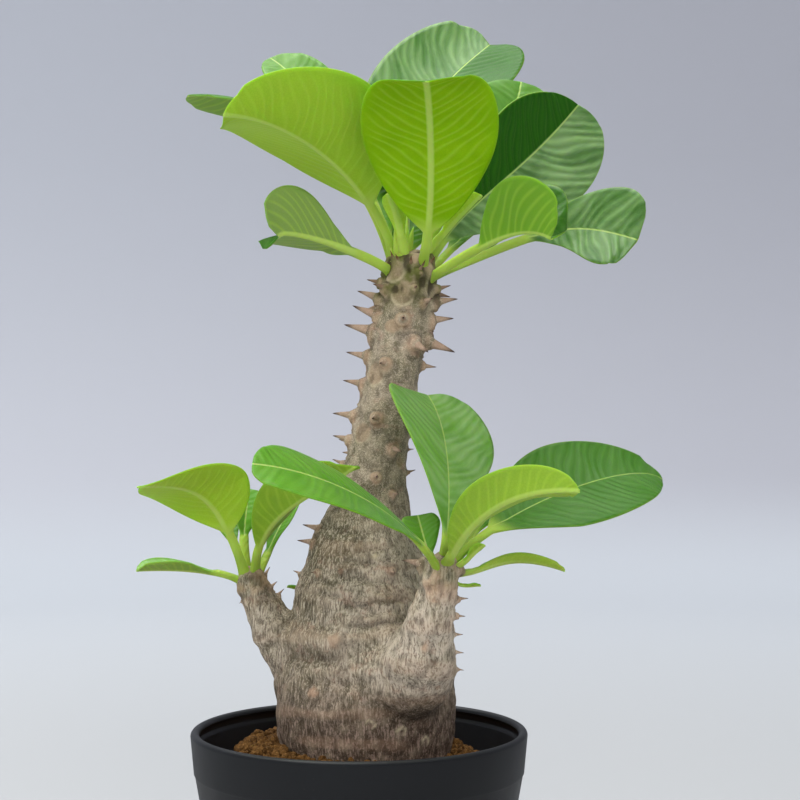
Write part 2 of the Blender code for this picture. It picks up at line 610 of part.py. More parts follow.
def build_soil(group, stumps, material):
    bottom = FLOOR + GAP
    shoulder = POT_HEIGHT - COLLAR_HEIGHT
    edge = inner_radius(shoulder) - GAP - 0.1
    low = bottom + FOOT_SLOPE
    outer = [(edge, SOIL_LEVEL), (edge, shoulder - 0.3), (inner_radius(low) - GAP - 0.1, low),
             (inner_radius(bottom) - FOOT_SLOPE - GAP - 0.4, bottom), (0, bottom)]
    radii = np.linspace(0, edge, SOIL_RINGS + 1)[:-1]
    top = [(float(r), SOIL_LEVEL) for r in radii]
    soil = turn("soil", top + outer, SOIL_SIDES, group, material)
    draw = random.Random(SEED)
    waves = [(draw.uniform(*GRAIN_RATES), draw.uniform(0, 2 * math.pi), draw.uniform(0, 2 * math.pi))
             for _wave in range(GRAIN_WAVES)]
    for vertex in soil.data.vertices:
        x, y, z = vertex.co / MM
        if z < SOIL_LEVEL - 0.1:
            continue
        lumps = 0.0
        for rate, turned, shift in waves:
            lumps += math.sin(rate * (x * math.cos(turned) + y * math.sin(turned)) + shift)
        vertex.co.z = (soil_height(x, y) + GRAIN_HEIGHT * math.tanh(lumps / 2) * 0.5) * MM
    for head in ("crown", "right"):
        boolean(soil, stumps[head])
    smooth(soil, 25)
    return soil


def build():
    clear_scene()
    parts = new_collection("potted_pachypodium")
    cutters = new_collection("cutters")
    build_stem(parts, new_material("bark", BARK))
    stumps = build_leaves(parts, cutters, new_material("leaf", LEAF))
    build_pot(parts, cutters, new_material("plastic", PLASTIC))
    build_soil(parts, stumps, new_material("soil", SOIL))


build()
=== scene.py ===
"""Potted pachypodium: a swollen spiny stem with two side branches and three heads of leaves,
in granular soil in a round black nursery pot.

Tables are in millimetres in the model's own frame: origin at the middle of the pot's base,
X to the right, Y away from the viewer, Z up.
"""
import math
import random

import bpy
import numpy as np
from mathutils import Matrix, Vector, noise


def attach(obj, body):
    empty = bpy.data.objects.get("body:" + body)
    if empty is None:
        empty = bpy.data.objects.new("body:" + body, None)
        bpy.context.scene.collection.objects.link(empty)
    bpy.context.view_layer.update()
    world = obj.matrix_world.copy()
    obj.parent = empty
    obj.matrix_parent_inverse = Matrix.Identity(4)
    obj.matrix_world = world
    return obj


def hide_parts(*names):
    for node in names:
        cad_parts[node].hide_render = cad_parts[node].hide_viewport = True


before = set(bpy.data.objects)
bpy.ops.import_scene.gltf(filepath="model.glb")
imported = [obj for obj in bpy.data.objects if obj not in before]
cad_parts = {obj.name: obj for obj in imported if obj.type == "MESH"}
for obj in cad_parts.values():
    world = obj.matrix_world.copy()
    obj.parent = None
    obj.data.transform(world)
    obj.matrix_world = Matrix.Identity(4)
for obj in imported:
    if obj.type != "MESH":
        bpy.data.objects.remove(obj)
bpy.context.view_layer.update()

MM = 0.001
SEED = 7

# Camera: level, and a little to the right of the pot's middle
CAMERA_PLACE = (12.7, -555.0, 194.6)
CAMERA_LENS = 79.875
CAMERA_SENSOR = 36.0
CAMERA_RANGE = (0.01, 20.0)     # nearest and farthest that it sees, in metres

# Lamps, in metres: place, the point that each is turned to, width, power, and whether it shows
# as a highlight
LAMPS = {
    "over": ((-0.2, 0.2, 1.4), (0, 0, 0.18), 1.1, 18, True),
    "left": ((-1.1, -0.5, 0.8), (0, 0, 0.2), 0.8, 7, False),
    "front": ((0.3, -1.4, 0.9), (0, 0, 0.2), 0.9, 12, False),
}
ROOM_COLOUR = (0.93, 0.95, 1.0, 1.0)
ROOM_STRENGTH = 0.45

# Backdrop, in millimetres: a round floor that bends up into a wall
FLOOR_RADIUS = 1150.0
FLOOR_BEND = 750.0
BACKDROP_TOP = 1750.0
BACKDROP_SIDES = 96

# Pot, in millimetres
RIM_RADIUS = 52.5
POT_HEIGHT = 92.0
BASE_RADIUS = 37.0
WALL = 1.6
FLOOR = 2.0
FOOT_SLOPE = 1.0
COLLAR_HEIGHT = 13.0
COLLAR_STEP = 1.4
COLLAR_TAPER = 1.0
RIM_ROUND = 1.4
RIM_INSIDE = 50.7
LEDGE_DEPTH = 5.0
LEDGE_STEP = 0.8
DRAIN_HOLES = 6
DRAIN_RADIUS = 3.5
DRAIN_CIRCLE = 24.0
DRAIN_SIDES = 40
POT_SIDES = 160
POT_SMOOTH = 32         # edges sharper than this many degrees stay sharp

# Soil, in millimetres
SOIL_CROWN = 85.6       # heaped round the stem
SOIL_LEAN = -0.06       # rise of the heap for each millimetre to the right
SOIL_WALL = 77.0        # against the pot
SOIL_HEAP = (33.0, 47.0)    # where the heap starts to fall away, and where it ends
SOIL_RADIUS = 49.2
SOIL_BOTTOM = 60.0
BED_RADII = [12, 18, 24, 29, 33, 36, 39, 42, 45, SOIL_RADIUS]
BED_SIDES = 96
STEM_IN_SOIL = ((2.0, 0.0), 26.3)   # middle and radius of the stem where it meets the soil
GRANULES = 2400
GRANULE_SIZE = (0.75, 1.45)     # radius
GRANULE_SPREAD = (24, 49)       # nearest and farthest from the pot's middle
GRANULE_KINDS = 9
GRANULE_CUTS = 6        # flattened sides of each kind
GRANULE_SMOOTH = 40     # degrees
LARGE_GRANULES = (0.2, 1.15)    # share of the granules, and how much larger they are
LOWER_GRANULES = 0.62   # share of the granules that lie half sunk in the bed

# Stem, in millimetres: x, y, z and radius up each centre line
TRUNK = [
    (0, 0, 61, 0), (0, 0, 63, 13), (1, 0, 72, 22), (2, 0, 84, 26), (2, 0, 100, 28),
    (3, 0, 115, 26.5), (3, 0, 126, 24.8), (2, 0, 134, 22.5), (2, 0, 142, 19.5),
    (2.3, 0, 151, 16.4), (3.5, 0, 160, 12.8), (4.5, 0, 170, 10.3), (7.5, 0, 188, 8.8),
    (10, 0, 200, 8.4), (12.3, 0, 212, 8.0), (14.8, 0, 224, 8.0), (15.6, 0, 232, 8.4),
    (15.8, 0, 237, 7.7), (15.8, 0, 240, 5.2), (15.5, 0, 241.2, 0),
]
LEFT_BRANCH = [
    (-10, 0, 98, 0), (-13, 0, 104.5, 8.6), (-20, 0, 113.5, 7.8), (-25, 0, 120, 7.3), (-29, 0, 128, 6),
    (-32, 0, 134, 5), (-34, 0, 138, 4.8), (-35.2, 0, 141, 3.2), (-35.6, 0, 142, 0),
]
RIGHT_BRANCH = [
    (4, -4, 97, 0), (6, -7, 103, 10), (12, -16, 108, 12.5), (17, -24, 113, 12.3),
    (19, -30, 119, 10.6), (20.8, -34.5, 125, 8.4), (22, -38, 131.5, 6.5), (23.4, -40, 138, 5.7),
    (24.6, -41, 145, 5.6), (25.4, -41.6, 149, 4.2), (25.6, -41.8, 150.6, 0),
]

# Spines: height on the centre line, azimuth from +X towards +Y, length and upward tilt
TRUNK_SPINES = [
    (231, 188, 5.2, 16), (229, 214, 5.5, 20), (226, 182, 8.4, 24), (221, 186, 9.0, 16),
    (216, 178, 10.4, 12), (208, 182, 7.9, 13), (199.5, 186, 7.0, 14), (189.5, 183, 7.7, 12),
    (182, 190, 6.2, 20), (174.5, 184, 4.4, 24), (154.5, 192, 6.0, 16),
    (229, -8, 5.2, 18), (225, 4, 8.2, 14), (219.5, -6, 7.8, 6), (213, -14, 10.4, -18),
    (212.5, -56, 8.6, -22), (205.5, 2, 5.0, -10), (179, 8, 2.2, 10), (172, 0, 3.0, 12),
    (234, -70, 4.0, 40), (229, -78, 3.8, 10), (225, -52, 5.0, 8), (219.5, -92, 7.0, 4),
    (206, -110, 6.0, 2), (189, -104, 6.2, 4), (180, -62, 6.2, -12), (171, -86, 5.0, 2),
    (166, -56, 4.0, 0), (150.5, 198, 6.0, 8), (142, -136, 3.5, 8), (143, -112, 2.5, 4),
    (143, -66, 4.0, -4), (140, 176, 3.0, 28),
]
LEFT_SPINES = [(138, 0, 3.0, 30), (134, -12, 3.0, 20), (131, 8, 3.0, 20), (134, 176, 1.5, -10),
               (137, 70, 2.5, 20), (131, 95, 2.5, 10)]
RIGHT_SPINES = [(138, 0, 3.6, 10), (133.5, -8, 3.4, 6), (127, 0, 2.4, 4), (121.5, 4, 2.6, 4),
                (116, 0, 2.4, 0), (139, 60, 3.2, 10), (132, 95, 3.0, 6), (146, 182, 6.5, 4)]
REAR_SPINE_LENGTH = (4.5, 8.0)
REAR_HEIGHTS = (168, 228)
REAR_AZIMUTHS = (16, 166)
REAR_TILTS = (-12, 20)
REAR_SPACING = 3.6      # rise from one spine of the rear to the next
GOLDEN_ANGLE = 137.5

# The stem's parts before they are fused: centre line, rings and sides of its mesh
STEM_PARTS = [(TRUNK, 220, 96), (LEFT_BRANCH, 60, 48), (RIGHT_BRANCH, 60, 56)]

# Each head: middle and radii of the dome that its leaves grow from
HEADS = {
    "crown": ((15, 0, 231), (9.8, 9.8, 9.5)),
    "left": ((-34, 0, 137.5), (4.8, 4.8, 4.2)),
    "right": ((25, -41, 145), (5.8, 5.8, 5.2)),
    "body": ((-12, 6, 134), (1, 1, 1)),
}

# Each leaf: root (azimuth, elevation) on its head, three points that the midrib bends by and
# ends at, the way its upper side faces, its width, and the share of its length that is stalk.
# fold and curl turn up its two halves, fullness and taper shape its outline, and lobe is how
# far each of the tip's two sides reaches past its notch.
LEAF_USUAL = dict(fold=(15, 15), curl=(5, 5), fullness=1.1, taper=0.45, lobe=(0, 0))
LEAVES = {
    "crown": {
        "front": dict(root=(-38, 22), route=[(24.5, -17, 250), (21, -37.5, 286.5), (20, -54, 284.5)],
                      face=(0.03, 0.73, 0.68), width=40.7, stalk=0.21, fold=(6, 6), curl=(6, -11),
                      fullness=0.86, taper=0.53, lobe=(4.6, 9.4)),
        "front_left": dict(root=(-142, 22), route=[(10, 9.5, 258.5), (-15.5, -30, 279), (-38, -45, 276.5)],
                           face=(0.64, 0.67, 0.38), width=54, stalk=0.27, fold=(30, 12),
                           curl=(13, -12), fullness=1.07, taper=0.94, lobe=(8.7, 1.9)),
        "left": dict(root=(-166, 20), route=[(12, -5.5, 237), (-22, -19.5, 247.5), (-23.5, -24, 243.5)],
                     face=(-0.55, 0.8, 0.25), width=31.5, stalk=0.34, fold=(31, 74),
                     curl=(-5, -9), fullness=1.94, taper=0.76, lobe=(9.6, 5.6)),
        "left_back": dict(root=(156, 28), route=[(2, 10, 274), (-28, 7, 293), (-53, -5, 289)],
                          face=(0.3, 0.1, 1), width=28, stalk=0.3, fold=(-16, -16)),
        "back_left": dict(root=(120, 40), route=[(4, 12, 262), (-14, 30, 297.5), (-31, 42, 309.5)],
                          face=(0.3, -0.8, 0.5), width=24, stalk=0.25, fold=(12, 12), taper=0.5),
        "back": dict(root=(84, 30), route=[(8.5, 31.5, 283.5), (25.5, 53.5, 302), (44, 65, 318.5)],
                     face=(-0.31, -0.6, 0.74), width=48.6, stalk=0.24, fold=(15, -4), curl=(26, 6),
                     fullness=0.92, taper=0.47, lobe=(13.9, 11.7)),
        "back_right": dict(root=(46, 38), route=[(26.5, 15, 262.5), (50, 20.5, 278), (53, 36.5, 300.5)],
                           face=(0.16, -0.76, 0.63), width=28.5, stalk=0.24, fold=(9, 2),
                           curl=(-16, -13), fullness=1.01, taper=0.4, lobe=(0.7, 0.4)),
        "right_back": dict(root=(22, 28), route=[(33, 3.5, 259), (48.5, 17.5, 263), (70, 16, 289.5)],
                           face=(0.18, -0.96, -0.23), width=41.5, stalk=0.14, fold=(18, 18),
                           curl=(8, 8), fullness=1.33, taper=0.69, lobe=(2.9, 8.6)),
        "right": dict(root=(8, 14), route=[(59.5, 9, 249), (64.5, 3.5, 252), (86, -6.5, 244)],
                      face=(-0.02, -0.91, 0.41), width=30.5, stalk=0.48, fold=(14, 14),
                      curl=(8, 8), fullness=1.41, taper=0.38),
        "front_right": dict(root=(-22, -2), route=[(41, -17, 245), (50, -30, 246.5), (56.5, -38.5, 241.5)],
                            face=(-0.03, 0.82, 0.57), width=36, stalk=0.42, fold=(80, 25),
                            curl=(40, -10), fullness=1.38, taper=0.6, lobe=(-6, 10)),
        "rear": dict(root=(96, -2), route=[(16, 28, 246), (16, 55, 272), (15, 79.8, 280)],
                     face=(0, -0.5, 0.85), width=40, stalk=0.2, fold=(12, 12)),
        "rear_left": dict(root=(134, -4), route=[(9, 20, 258), (-2, 44, 282), (-18, 62, 286)],
                          face=(0.3, -0.5, 0.8), width=30, stalk=0.2, fold=(14, 14)),
        "rear_right": dict(root=(56, -4), route=[(34, 18, 248), (50, 38, 268), (64, 58, 270)],
                           face=(-0.3, -0.5, 0.8), width=30, stalk=0.2, fold=(14, 14)),
        "young_front": dict(root=(-96, 52), route=[(13, -6, 247), (12, -9, 252), (9, -11, 258)],
                            face=(0.1, 0.9, 0.3), width=8, stalk=0.4, fold=(32, 32)),
        "young_right": dict(root=(-4, 56), route=[(24, -3, 246), (31, -4, 251), (38, -5, 258)],
                            face=(-0.6, 0.5, 0.6), width=9, stalk=0.4, fold=(30, 30)),
    },
    "left": {
        "front": dict(root=(-124, 34), route=[(-44, -4, 167.5), (-49, -16, 169.5), (-63, -42, 169.5)],
                      face=(0.25, 0.7, 0.67), width=33, stalk=0.23, fold=(18, -2), curl=(7, 3),
                      fullness=1.11, taper=1.52, lobe=(1.2, 4.7)),
        "right": dict(root=(-40, 20), route=[(-34, -5.5, 161), (-11.5, -22, 165.5), (-0.5, -32.5, 175)],
                      face=(-0.65, 0.75, 0.13), width=26, stalk=0.16, fold=(36, 28),
                      curl=(-6, -8), fullness=1.12, taper=0.76, lobe=(1.3, 0)),
        "low": dict(root=(172, 2), route=[(-44, 0, 142), (-56, -2, 142.5), (-68.8, -6, 141.8)],
                    face=(0, 0, 1), width=12, stalk=0.25, fold=(27, 27)),
        "back": dict(root=(120, 60), route=[(-38, 5, 150), (-36, 8, 157), (-36, 16, 166)],
                     face=(0.2, -0.8, 0.5), width=11, stalk=0.4),
        "rear": dict(root=(130, 0), route=[(-40, 14, 152), (-50, 32, 164), (-58, 46, 166)],
                     face=(0.3, -0.4, 0.9), width=18, stalk=0.25, fold=(18, 18)),
        "rear_right": dict(root=(50, 10), route=[(-29, 10, 148), (-24, 20, 158), (-21, 28, 163)],
                           face=(-0.3, -0.4, 0.9), width=10, stalk=0.25, fold=(18, 18)),
    },
    "right": {
        "front_left": dict(root=(-120, 20), route=[(14, -66, 165), (-9, -90.8, 176.5), (-25.4, -96.9, 178)],
                           face=(-0.04, -0.68, 0.73), width=29.5, stalk=0.14, fold=(7, -4),
                           curl=(7, -13), fullness=0.99, taper=0.52, lobe=(6.4, -1.6)),
        "up": dict(root=(84, 60), route=[(26.5, -52, 157.5), (29.5, -30.5, 183.5), (21, -20, 196)],
                   face=(0.61, -0.76, -0.2), width=42, stalk=0.12, fold=(5, 7), curl=(-5, -3),
                   fullness=1.76, taper=0.64, lobe=(9, 4.9)),
        "front": dict(root=(-68, 40), route=[(30.5, -69.5, 160.5), (40, -78, 171.5), (60, -86.5, 170.5)],
                      face=(-0.18, 0.88, 0.45), width=19, stalk=0.08, fold=(43, 35),
                      curl=(-7, -24), fullness=1.44, taper=0.92, lobe=(3.4, 6.8)),
        "side": dict(root=(4, 46), route=[(41.5, -42, 163.5), (84.5, -13.5, 177.5), (93.5, -8, 170)],
                     face=(-0.5, -0.5, 0.71), width=38, stalk=0.18, fold=(20, -11),
                     curl=(15, -4), fullness=0.9, taper=0.77, lobe=(1, -1.2)),
        "low": dict(root=(8, -22), route=[(41.5, -14, 142.5), (44, -18, 149.5), (62.5, -19, 143)],
                    face=(-0.46, 0.09, 0.89), width=7.2, stalk=0.2, fold=(34, 41)),
        "back": dict(root=(132, 6), route=[(20.5, -35, 150), (19.5, -30, 155), (18, -23, 160)],
                     face=(0, -0.7, 0.7), width=12, stalk=0.2),
        "rear": dict(root=(72, 24), route=[(34, -24, 158), (52, -8, 168), (66, 4, 169)],
                     face=(0, -0.4, 0.9), width=19, stalk=0.25, fold=(18, 18)),
        "small": dict(root=(-20, 10), route=[(32, -43, 148), (34, -44, 151), (37, -45, 153)],
                      face=(-0.4, 0.5, 0.7), width=5, stalk=0.35),
        "tiny": dict(root=(-10, -50), route=[(31, -41, 140), (33, -41, 141), (36, -42, 141)],
                     face=(-0.2, 0.2, 1), width=3.4, stalk=0.3),
    },
    "body": {
        "sprout": dict(root=(160, 0), route=[(-17, 8, 134), (-20, 8, 135), (-23, 7, 135.5)],
                       face=(0, 0, 1), width=3.6, stalk=0.4),
    },
}

# Leaf detail, in millimetres: how strongly the blade is quilted between its side veins, how far
# its edge waves, its age from -1 (young and pale) to 1 (old and dark), which makes a leaf lighter
# or darker partly for its age and partly as painted light and shade for how it is lit, and its
# painted haze, a pale sheen painted on its lower side
LEAF_DETAIL = {
    "crown_front": (0.22, 0.4, 0.15, 0.0), "crown_front_left": (0.2, 0.4, -0.7, 0.15),
    "crown_left": (0.2, 0.4, 0.6, 0.8), "crown_left_back": (0.2, 0.4, 0.6, 0.6),
    "crown_back_left": (0.25, 0.4, 0.4, 0.6), "crown_back": (0.6, 0.4, 0.8, 0.5),
    "crown_back_right": (0.3, 0.3, 0.5, 0.6), "crown_right_back": (0.8, 0.4, 1.0, 0.6),
    "crown_right": (0.9, 0.5, 0.85, 0.6), "crown_front_right": (0.18, 0.3, 0.75, 0.1),
    "crown_rear": (0.4, 0.6, 0.3, 0.6), "crown_rear_left": (0.35, 0.6, 0.3, 0.6),
    "crown_rear_right": (0.35, 0.6, 0.4, 0.6), "crown_young_front": (0.05, 0.1, -0.9, 0.2),
    "crown_young_right": (0.05, 0.1, -0.9, 0.2), "left_front": (0.14, 0.3, -0.75, 0.1),
    "left_right": (0.14, 0.3, 0.0, 0.3), "left_low": (0.1, 0.2, -0.2, 0.6),
    "left_back": (0.1, 0.3, 0.2, 0.6), "left_rear": (0.2, 0.4, 0.3, 0.6),
    "left_rear_right": (0.12, 0.3, 0.3, 0.6), "right_front_left": (0.16, 0.3, 0.3, 0.15),
    "right_up": (0.3, 0.3, 0.1, 0.4), "right_front": (0.14, 0.3, -0.6, 0.4),
    "right_side": (0.25, 0.4, 0.65, 0.4), "right_low": (0.1, 0.2, -0.8, 1.0),
    "right_back": (0.1, 0.3, 0.3, 0.5), "right_rear": (0.2, 0.4, 0.5, 0.5),
    "right_small": (0.03, 0.1, 0.0, 0.3), "right_tiny": (0.02, 0.1, 0.2, 0.3),
    "body_sprout": (0.02, 0.1, 0.2, 0.3),
}
# Painted sheen on the upper side: pale highlight streaks painted on the bulges between the side veins, with
# the coat's gloss; its strength on the midrib's two sides
PAINTED_SHEEN = {
    "crown_back": (0.42, 0.0), "crown_right_back": (0.0, 0.75), "crown_right": (0.5, 0.45),
    "crown_back_left": (0.3, 0.3), "crown_back_right": (0.2, 0.3), "right_up": (0.45, 0.6),
    "right_side": (0.12, 0.12), "right_low": (0.8, 0.8), "left_low": (0.5, 0.5),
}
PAINTED_SHEEN_USUAL = (0.1, 0.1)
BLADE = 0.62            # thickness of the blade
STALK_THICK = 2.2
STALK_HALF = 1.5        # half of the stalk's width
STALK_SHARE = 0.286     # a small leaf's stalk is no thicker than this share of the leaf's width
ROOT_DEPTH = 0.5        # share of the way from the head's middle to its dome
STALK_FOOT = 0.14       # share of the length in which the stalk widens towards its root
BLADE_START = (0.0, 0.12)       # shares of the blade between which the stalk turns into it
TROUGH = (0.16, 0.6)    # depth and width of the groove over the midrib
VEIN_SPACING = 3.3      # between side veins of a long leaf
LONG_LEAF = 80.0        # a shorter one has its side veins closer together
VEIN_SLANT = 0.42       # how far a side vein runs towards the tip for each millimetre outwards
VEIN_BEND = 0.012       # how far more for the square of those millimetres
EDGE_WAVES = (1.8, 2.6)         # waves of the edge along the leaf
LEAF_STEP = (0.75, 1.1)     # mesh size along and across
LEAF_ROWS = (24, 124)       # fewest and most rows of the mesh
LEAF_COLUMNS = (4, 18)      # fewest and most columns to each side of the midrib
NUDGE = 0.004           # share of a line's length by which its direction is found
NUDGE_ACROSS = 0.04     # share of a leaf's half-width by which the way it faces is found

# Stem detail, in millimetres
VOXEL = 0.62
FILLETS = (4.5, 5.5)    # width of the soft joint between the trunk and each branch
# Uneven relief, broad, lumpy, fine and in level bands: size along each axis, and seed
BARK_RELIEF = [((8, 8, 8), 3), ((2.6, 2.6, 3.2), 11), ((1.3, 1.3, 4.5), 23), ((26, 26, 4.5), 31)]
RAGGED_EDGE = ((1.1, 1.1, 1.1), 41)

# Heights on the stem, in millimetres. A look of the bark comes or goes between the two of a
# pair. A band comes in between its first two and goes again between its last two.
BODY_END = (150, 170)
BANDS_START = (96, 112)
GREEN_START = (217, 233)
# LIT_START, BELLY_BAND and TRUNK_BAND place painted light, and SHADE_BAND painted shade
LIT_START = (104, 112)
BELLY_BAND = (104, 120, 150, 160)
SHADE_BAND = (136, 150, 158, 172)
TRUNK_BAND = (162, 176, 215, 226)
TOP_HEAD = 200          # above this the knobs under a head are those of the top head
# The green tops of the two branches: a short centre line inside each
GREEN_TOPS = [
    [(-34, 0, 139, 0), (-34.5, 0, 140, 5), (-35, 0, 141, 0)],
    [(25, -41, 145, 0), (25, -41, 147, 6), (25, -41, 149, 0)],
]

# Leaf scars on the trunk: height and azimuth, half-width, half-height, and how brown it is
SCAR_REACH = 7.0        # farthest that one touches the bark round it
SCARS = [
    (234.5, -126, 3.4, 3.3, 0.2), (227.3, -103, 3.3, 3.5, 0.1), (202.8, -131, 3.2, 3.8, 0.6),
    (184.5, -130, 3.1, 3.3, 0.6), (175.6, -39, 1.6, 1.6, 0.4), (217.4, -113, 2.9, 2.2, 1.0),
    (209.4, -38, 1.8, 1.9, 1.0), (231.5, 40, 3.2, 3.3, 0.2), (224.0, 95, 3.2, 3.4, 0.3),
    (214.0, 30, 3.0, 3.2, 0.6), (208.0, 130, 3.1, 3.4, 0.5), (198.0, 75, 3.1, 3.3, 0.7),
    (186.0, 20, 2.9, 3.2, 0.6), (178.0, 110, 2.9, 3.2, 0.6), (193.0, 165, 2.6, 3.0, 0.6),
]

# Creases of the swollen body: height, middle azimuth, half-span, depth, width, and the rise for
# each degree of azimuth
CREASES = [
    (127.6, -82, 26, 0.8, 0.8, 0.0), (133.4, -80, 27, 0.8, 0.7, 0.01),
    (145.2, -95, 24, 0.6, 0.8, 0.0), (117.0, -130, 40, 0.8, 2.2, 0.05),
    (140.0, -74, 22, 0.4, 0.7, 0.0), (121.5, -92, 26, 0.3, 1.1, 0.02),
    (149.0, -96, 34, 0.4, 0.9, 0.0), (154.5, -84, 30, 0.3, 0.8, 0.0),
    (135.5, -120, 22, 0.4, 0.7, -0.02), (110.0, -118, 26, 0.35, 1.2, 0.03),
    (128.0, 60, 40, 0.6, 1.0, 0.0),
    (138.0, 110, 34, 0.5, 0.8, 0.0), (118.0, 30, 30, 0.4, 1.0, 0.0), (147.0, 20, 40, 0.4, 0.7, 0.0),
    (110.0, 140, 30, 0.5, 1.2, 0.0), (134.0, 165, 24, 0.5, 0.8, 0.0), (102.0, 90, 36, 0.4, 1.4, 0.0),
]
# Under the right branch: a hollow, and a lip over it, with place, reach and depth or height
HOLLOW = ((16.5, -22.0, 102.6), (12.5, 8.0, 4.6), 3.6)
HOLLOW_LIP = ((17.5, -24.0, 109.6), (10.0, 8.0, 1.3), 0.5)

# Blemishes of the body: place, radius and kind (1 a pale ring, 2 a tan patch)
BLEMISHES = [
    ((3.8, -27.8, 98.0), 1.6, 1), ((13.0, -25.5, 95.3), 2.0, 1), ((20.2, -20.5, 91.9), 1.7, 1),
    ((-13.4, -22.8, 106.7), 2.2, 2), ((-6.8, -23.5, 122.7), 2.6, 2), ((12.7, -21.5, 133.0), 1.6, 1),
    ((5.2, -18.8, 146.9), 1.8, 1), ((3.7, -23.5, 133.8), 1.6, 2), ((22.2, -46.0, 137.2), 1.6, 2),
    ((19.9, -42.8, 122.5), 1.8, 2), ((24.4, -35.8, 109.8), 1.6, 2), ((24.0, 14.0, 120.0), 2.2, 2),
    ((-10.0, 22.0, 125.0), 2.4, 2), ((6.0, 26.0, 104.0), 1.8, 1), ((-22.0, 10.0, 100.0), 1.7, 1),
    ((14.0, 18.0, 136.0), 1.7, 1), ((26.0, -2.0, 96.0), 1.6, 1), ((-24.0, -6.0, 98.0), 1.5, 2),
]

# The knobbly bark just under each head of leaves: its middle and reach
HEAD_KNOBS = [((15.5, 0.0, 236.0), 17.0), ((-33.5, 0.0, 138.0), 12.0), ((24.0, -40.0, 147.0), 14.0)]

# Spines and their feet: share of the length, and the radius there as a share of the length
SPINE_PROFILE = [(-0.24, 0), (-0.22, 0.08), (-0.18, 0.16), (-0.12, 0.22), (0.0, 0.24), (0.1, 0.215),
                 (0.25, 0.165), (0.5, 0.11), (0.75, 0.06), (0.93, 0.024), (1.0, 0)]
FOOT_PROFILE = [(-0.4, 0), (-0.38, 0.1), (-0.33, 0.2), (-0.24, 0.3), (-0.12, 0.34), (0.0, 0.31),
                (0.1, 0.25), (0.25, 0.175), (0.4, 0.115), (0.5, 0.07), (0.54, 0)]
SPINE_RINGS = 14
SPINE_SIDES = 10
FOOT_LIMITS = (7.5, 7.0)        # a longer spine's foot is no wider, and no higher
SPINE_BEND = (-0.1, 0.07)       # bend of the tip along the stem, as a share of the length
SPINE_VEER = (-0.05, 0.05)      # and to one side
# Small dark hooked tips between the leaf roots of the top head: height, azimuth, length, tilt
CROWN_TIPS = [(238, -120, 2.3, 50), (237, -88, 2.6, 64), (236.5, -60, 2.1, 40), (237, 178, 2.5, 40),
              (237.5, -30, 2.5, 48), (237, 120, 2.3, 50), (237, 60, 2.3, 50), (239, -140, 2.2, 66)]
YOUNG_SPINES = (226, 0.45)      # height above which a spine is young, and how young it looks

# The bud in the top head: the middle of its foot, each scale's azimuth, lean, length and width,
# and a scale's radius at shares of its length
BUD_FOOT = (13.2, -1.5, 236.0)
BUD_SCALES = [(-120, 8, 13.5, 1.5), (-60, 10, 11.5, 1.3), (20, 7, 13.0, 1.4),
              (100, 9, 12.0, 1.4), (170, 12, 10.5, 1.2), (-90, 3, 17.0, 1.6)]
SCALE_PROFILE = [(0, 0), (0.03, 0.8), (0.3, 1.0), (0.6, 0.75), (0.85, 0.35), (1, 0)]

# Columns of the numbers that the stem keeps for its bark: paleness that is partly painted light on raised
# parts, painted shade in hollows, and tan; then scar, ring and green
PALE_AND_LIT, HOLLOW_SHADE, TAN = 0, 1, 2
SCAR, RING, GREEN = 0, 1, 2


def screen(red, green, blue):
    """A linear colour from screen values of 0 to 255."""
    values = np.array([red, green, blue]) / 255
    linear = np.where(values > 0.04045, ((values + 0.055) / 1.055) ** 2.4, values / 12.92)
    return (*(float(value) for value in linear), 1.0)


# Work on meshes

def pick(*objects):
    """Select only these objects, the first of them active."""
    bpy.ops.object.select_all(action="DESELECT")
    for obj in objects:
        obj.select_set(True)
    bpy.context.view_layer.objects.active = objects[0]


def named(name):
    """Name the object that an operator has just added."""
    obj = bpy.context.object
    obj.name = name
    obj.data.name = name
    return obj


def fresh(name, operator, **settings):
    """Add a mesh by an operator, with nothing else selected."""
    bpy.ops.object.select_all(action="DESELECT")
    operator(**settings)
    return named(name)


def get_points(obj):
    """The mesh's vertices in millimetres, one to a row."""
    values = np.empty(len(obj.data.vertices) * 3)
    obj.data.vertices.foreach_get("co", values)
    return values.reshape(-1, 3) / MM


def set_points(obj, points):
    """Move the mesh's vertices to places in millimetres."""
    obj.data.vertices.foreach_set("co", (points * MM).ravel())
    obj.data.update()


def get_normals(obj):
    """The way out of the surface at each vertex."""
    values = np.empty(len(obj.data.vertices) * 3)
    obj.data.vertices.foreach_get("normal", values)
    return values.reshape(-1, 3)


def paint(obj, name, *parts):
    """Keep a number, or three of them, for each vertex, for the material to read."""
    rows = [np.broadcast_to(part, len(obj.data.vertices)) for part in parts]
    kind, field = ("FLOAT_VECTOR", "vector") if len(parts) == 3 else ("FLOAT", "value")
    layer = obj.data.attributes.new(name, kind, "POINT")
    layer.data.foreach_set(field, np.stack(rows, axis=1).astype(float).ravel())


def modify(obj, kind, **settings):
    """Add a modifier and apply it."""
    pick(obj)
    modifier = obj.modifiers.new(kind.lower(), kind)
    for key, value in settings.items():
        setattr(modifier, key, value)
    bpy.ops.object.modifier_apply(modifier=modifier.name)


def join(name, objects):
    """Make one object of several."""
    pick(*objects)
    bpy.ops.object.join()
    return named(name)


def dress(obj, material, slot, *nodes):
    """Give a finished piece its material, and say what it rides on and stands for."""
    obj.data.materials.clear()
    obj.data.materials.append(material)
    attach(obj, "root")
    if nodes:
        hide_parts(*nodes)


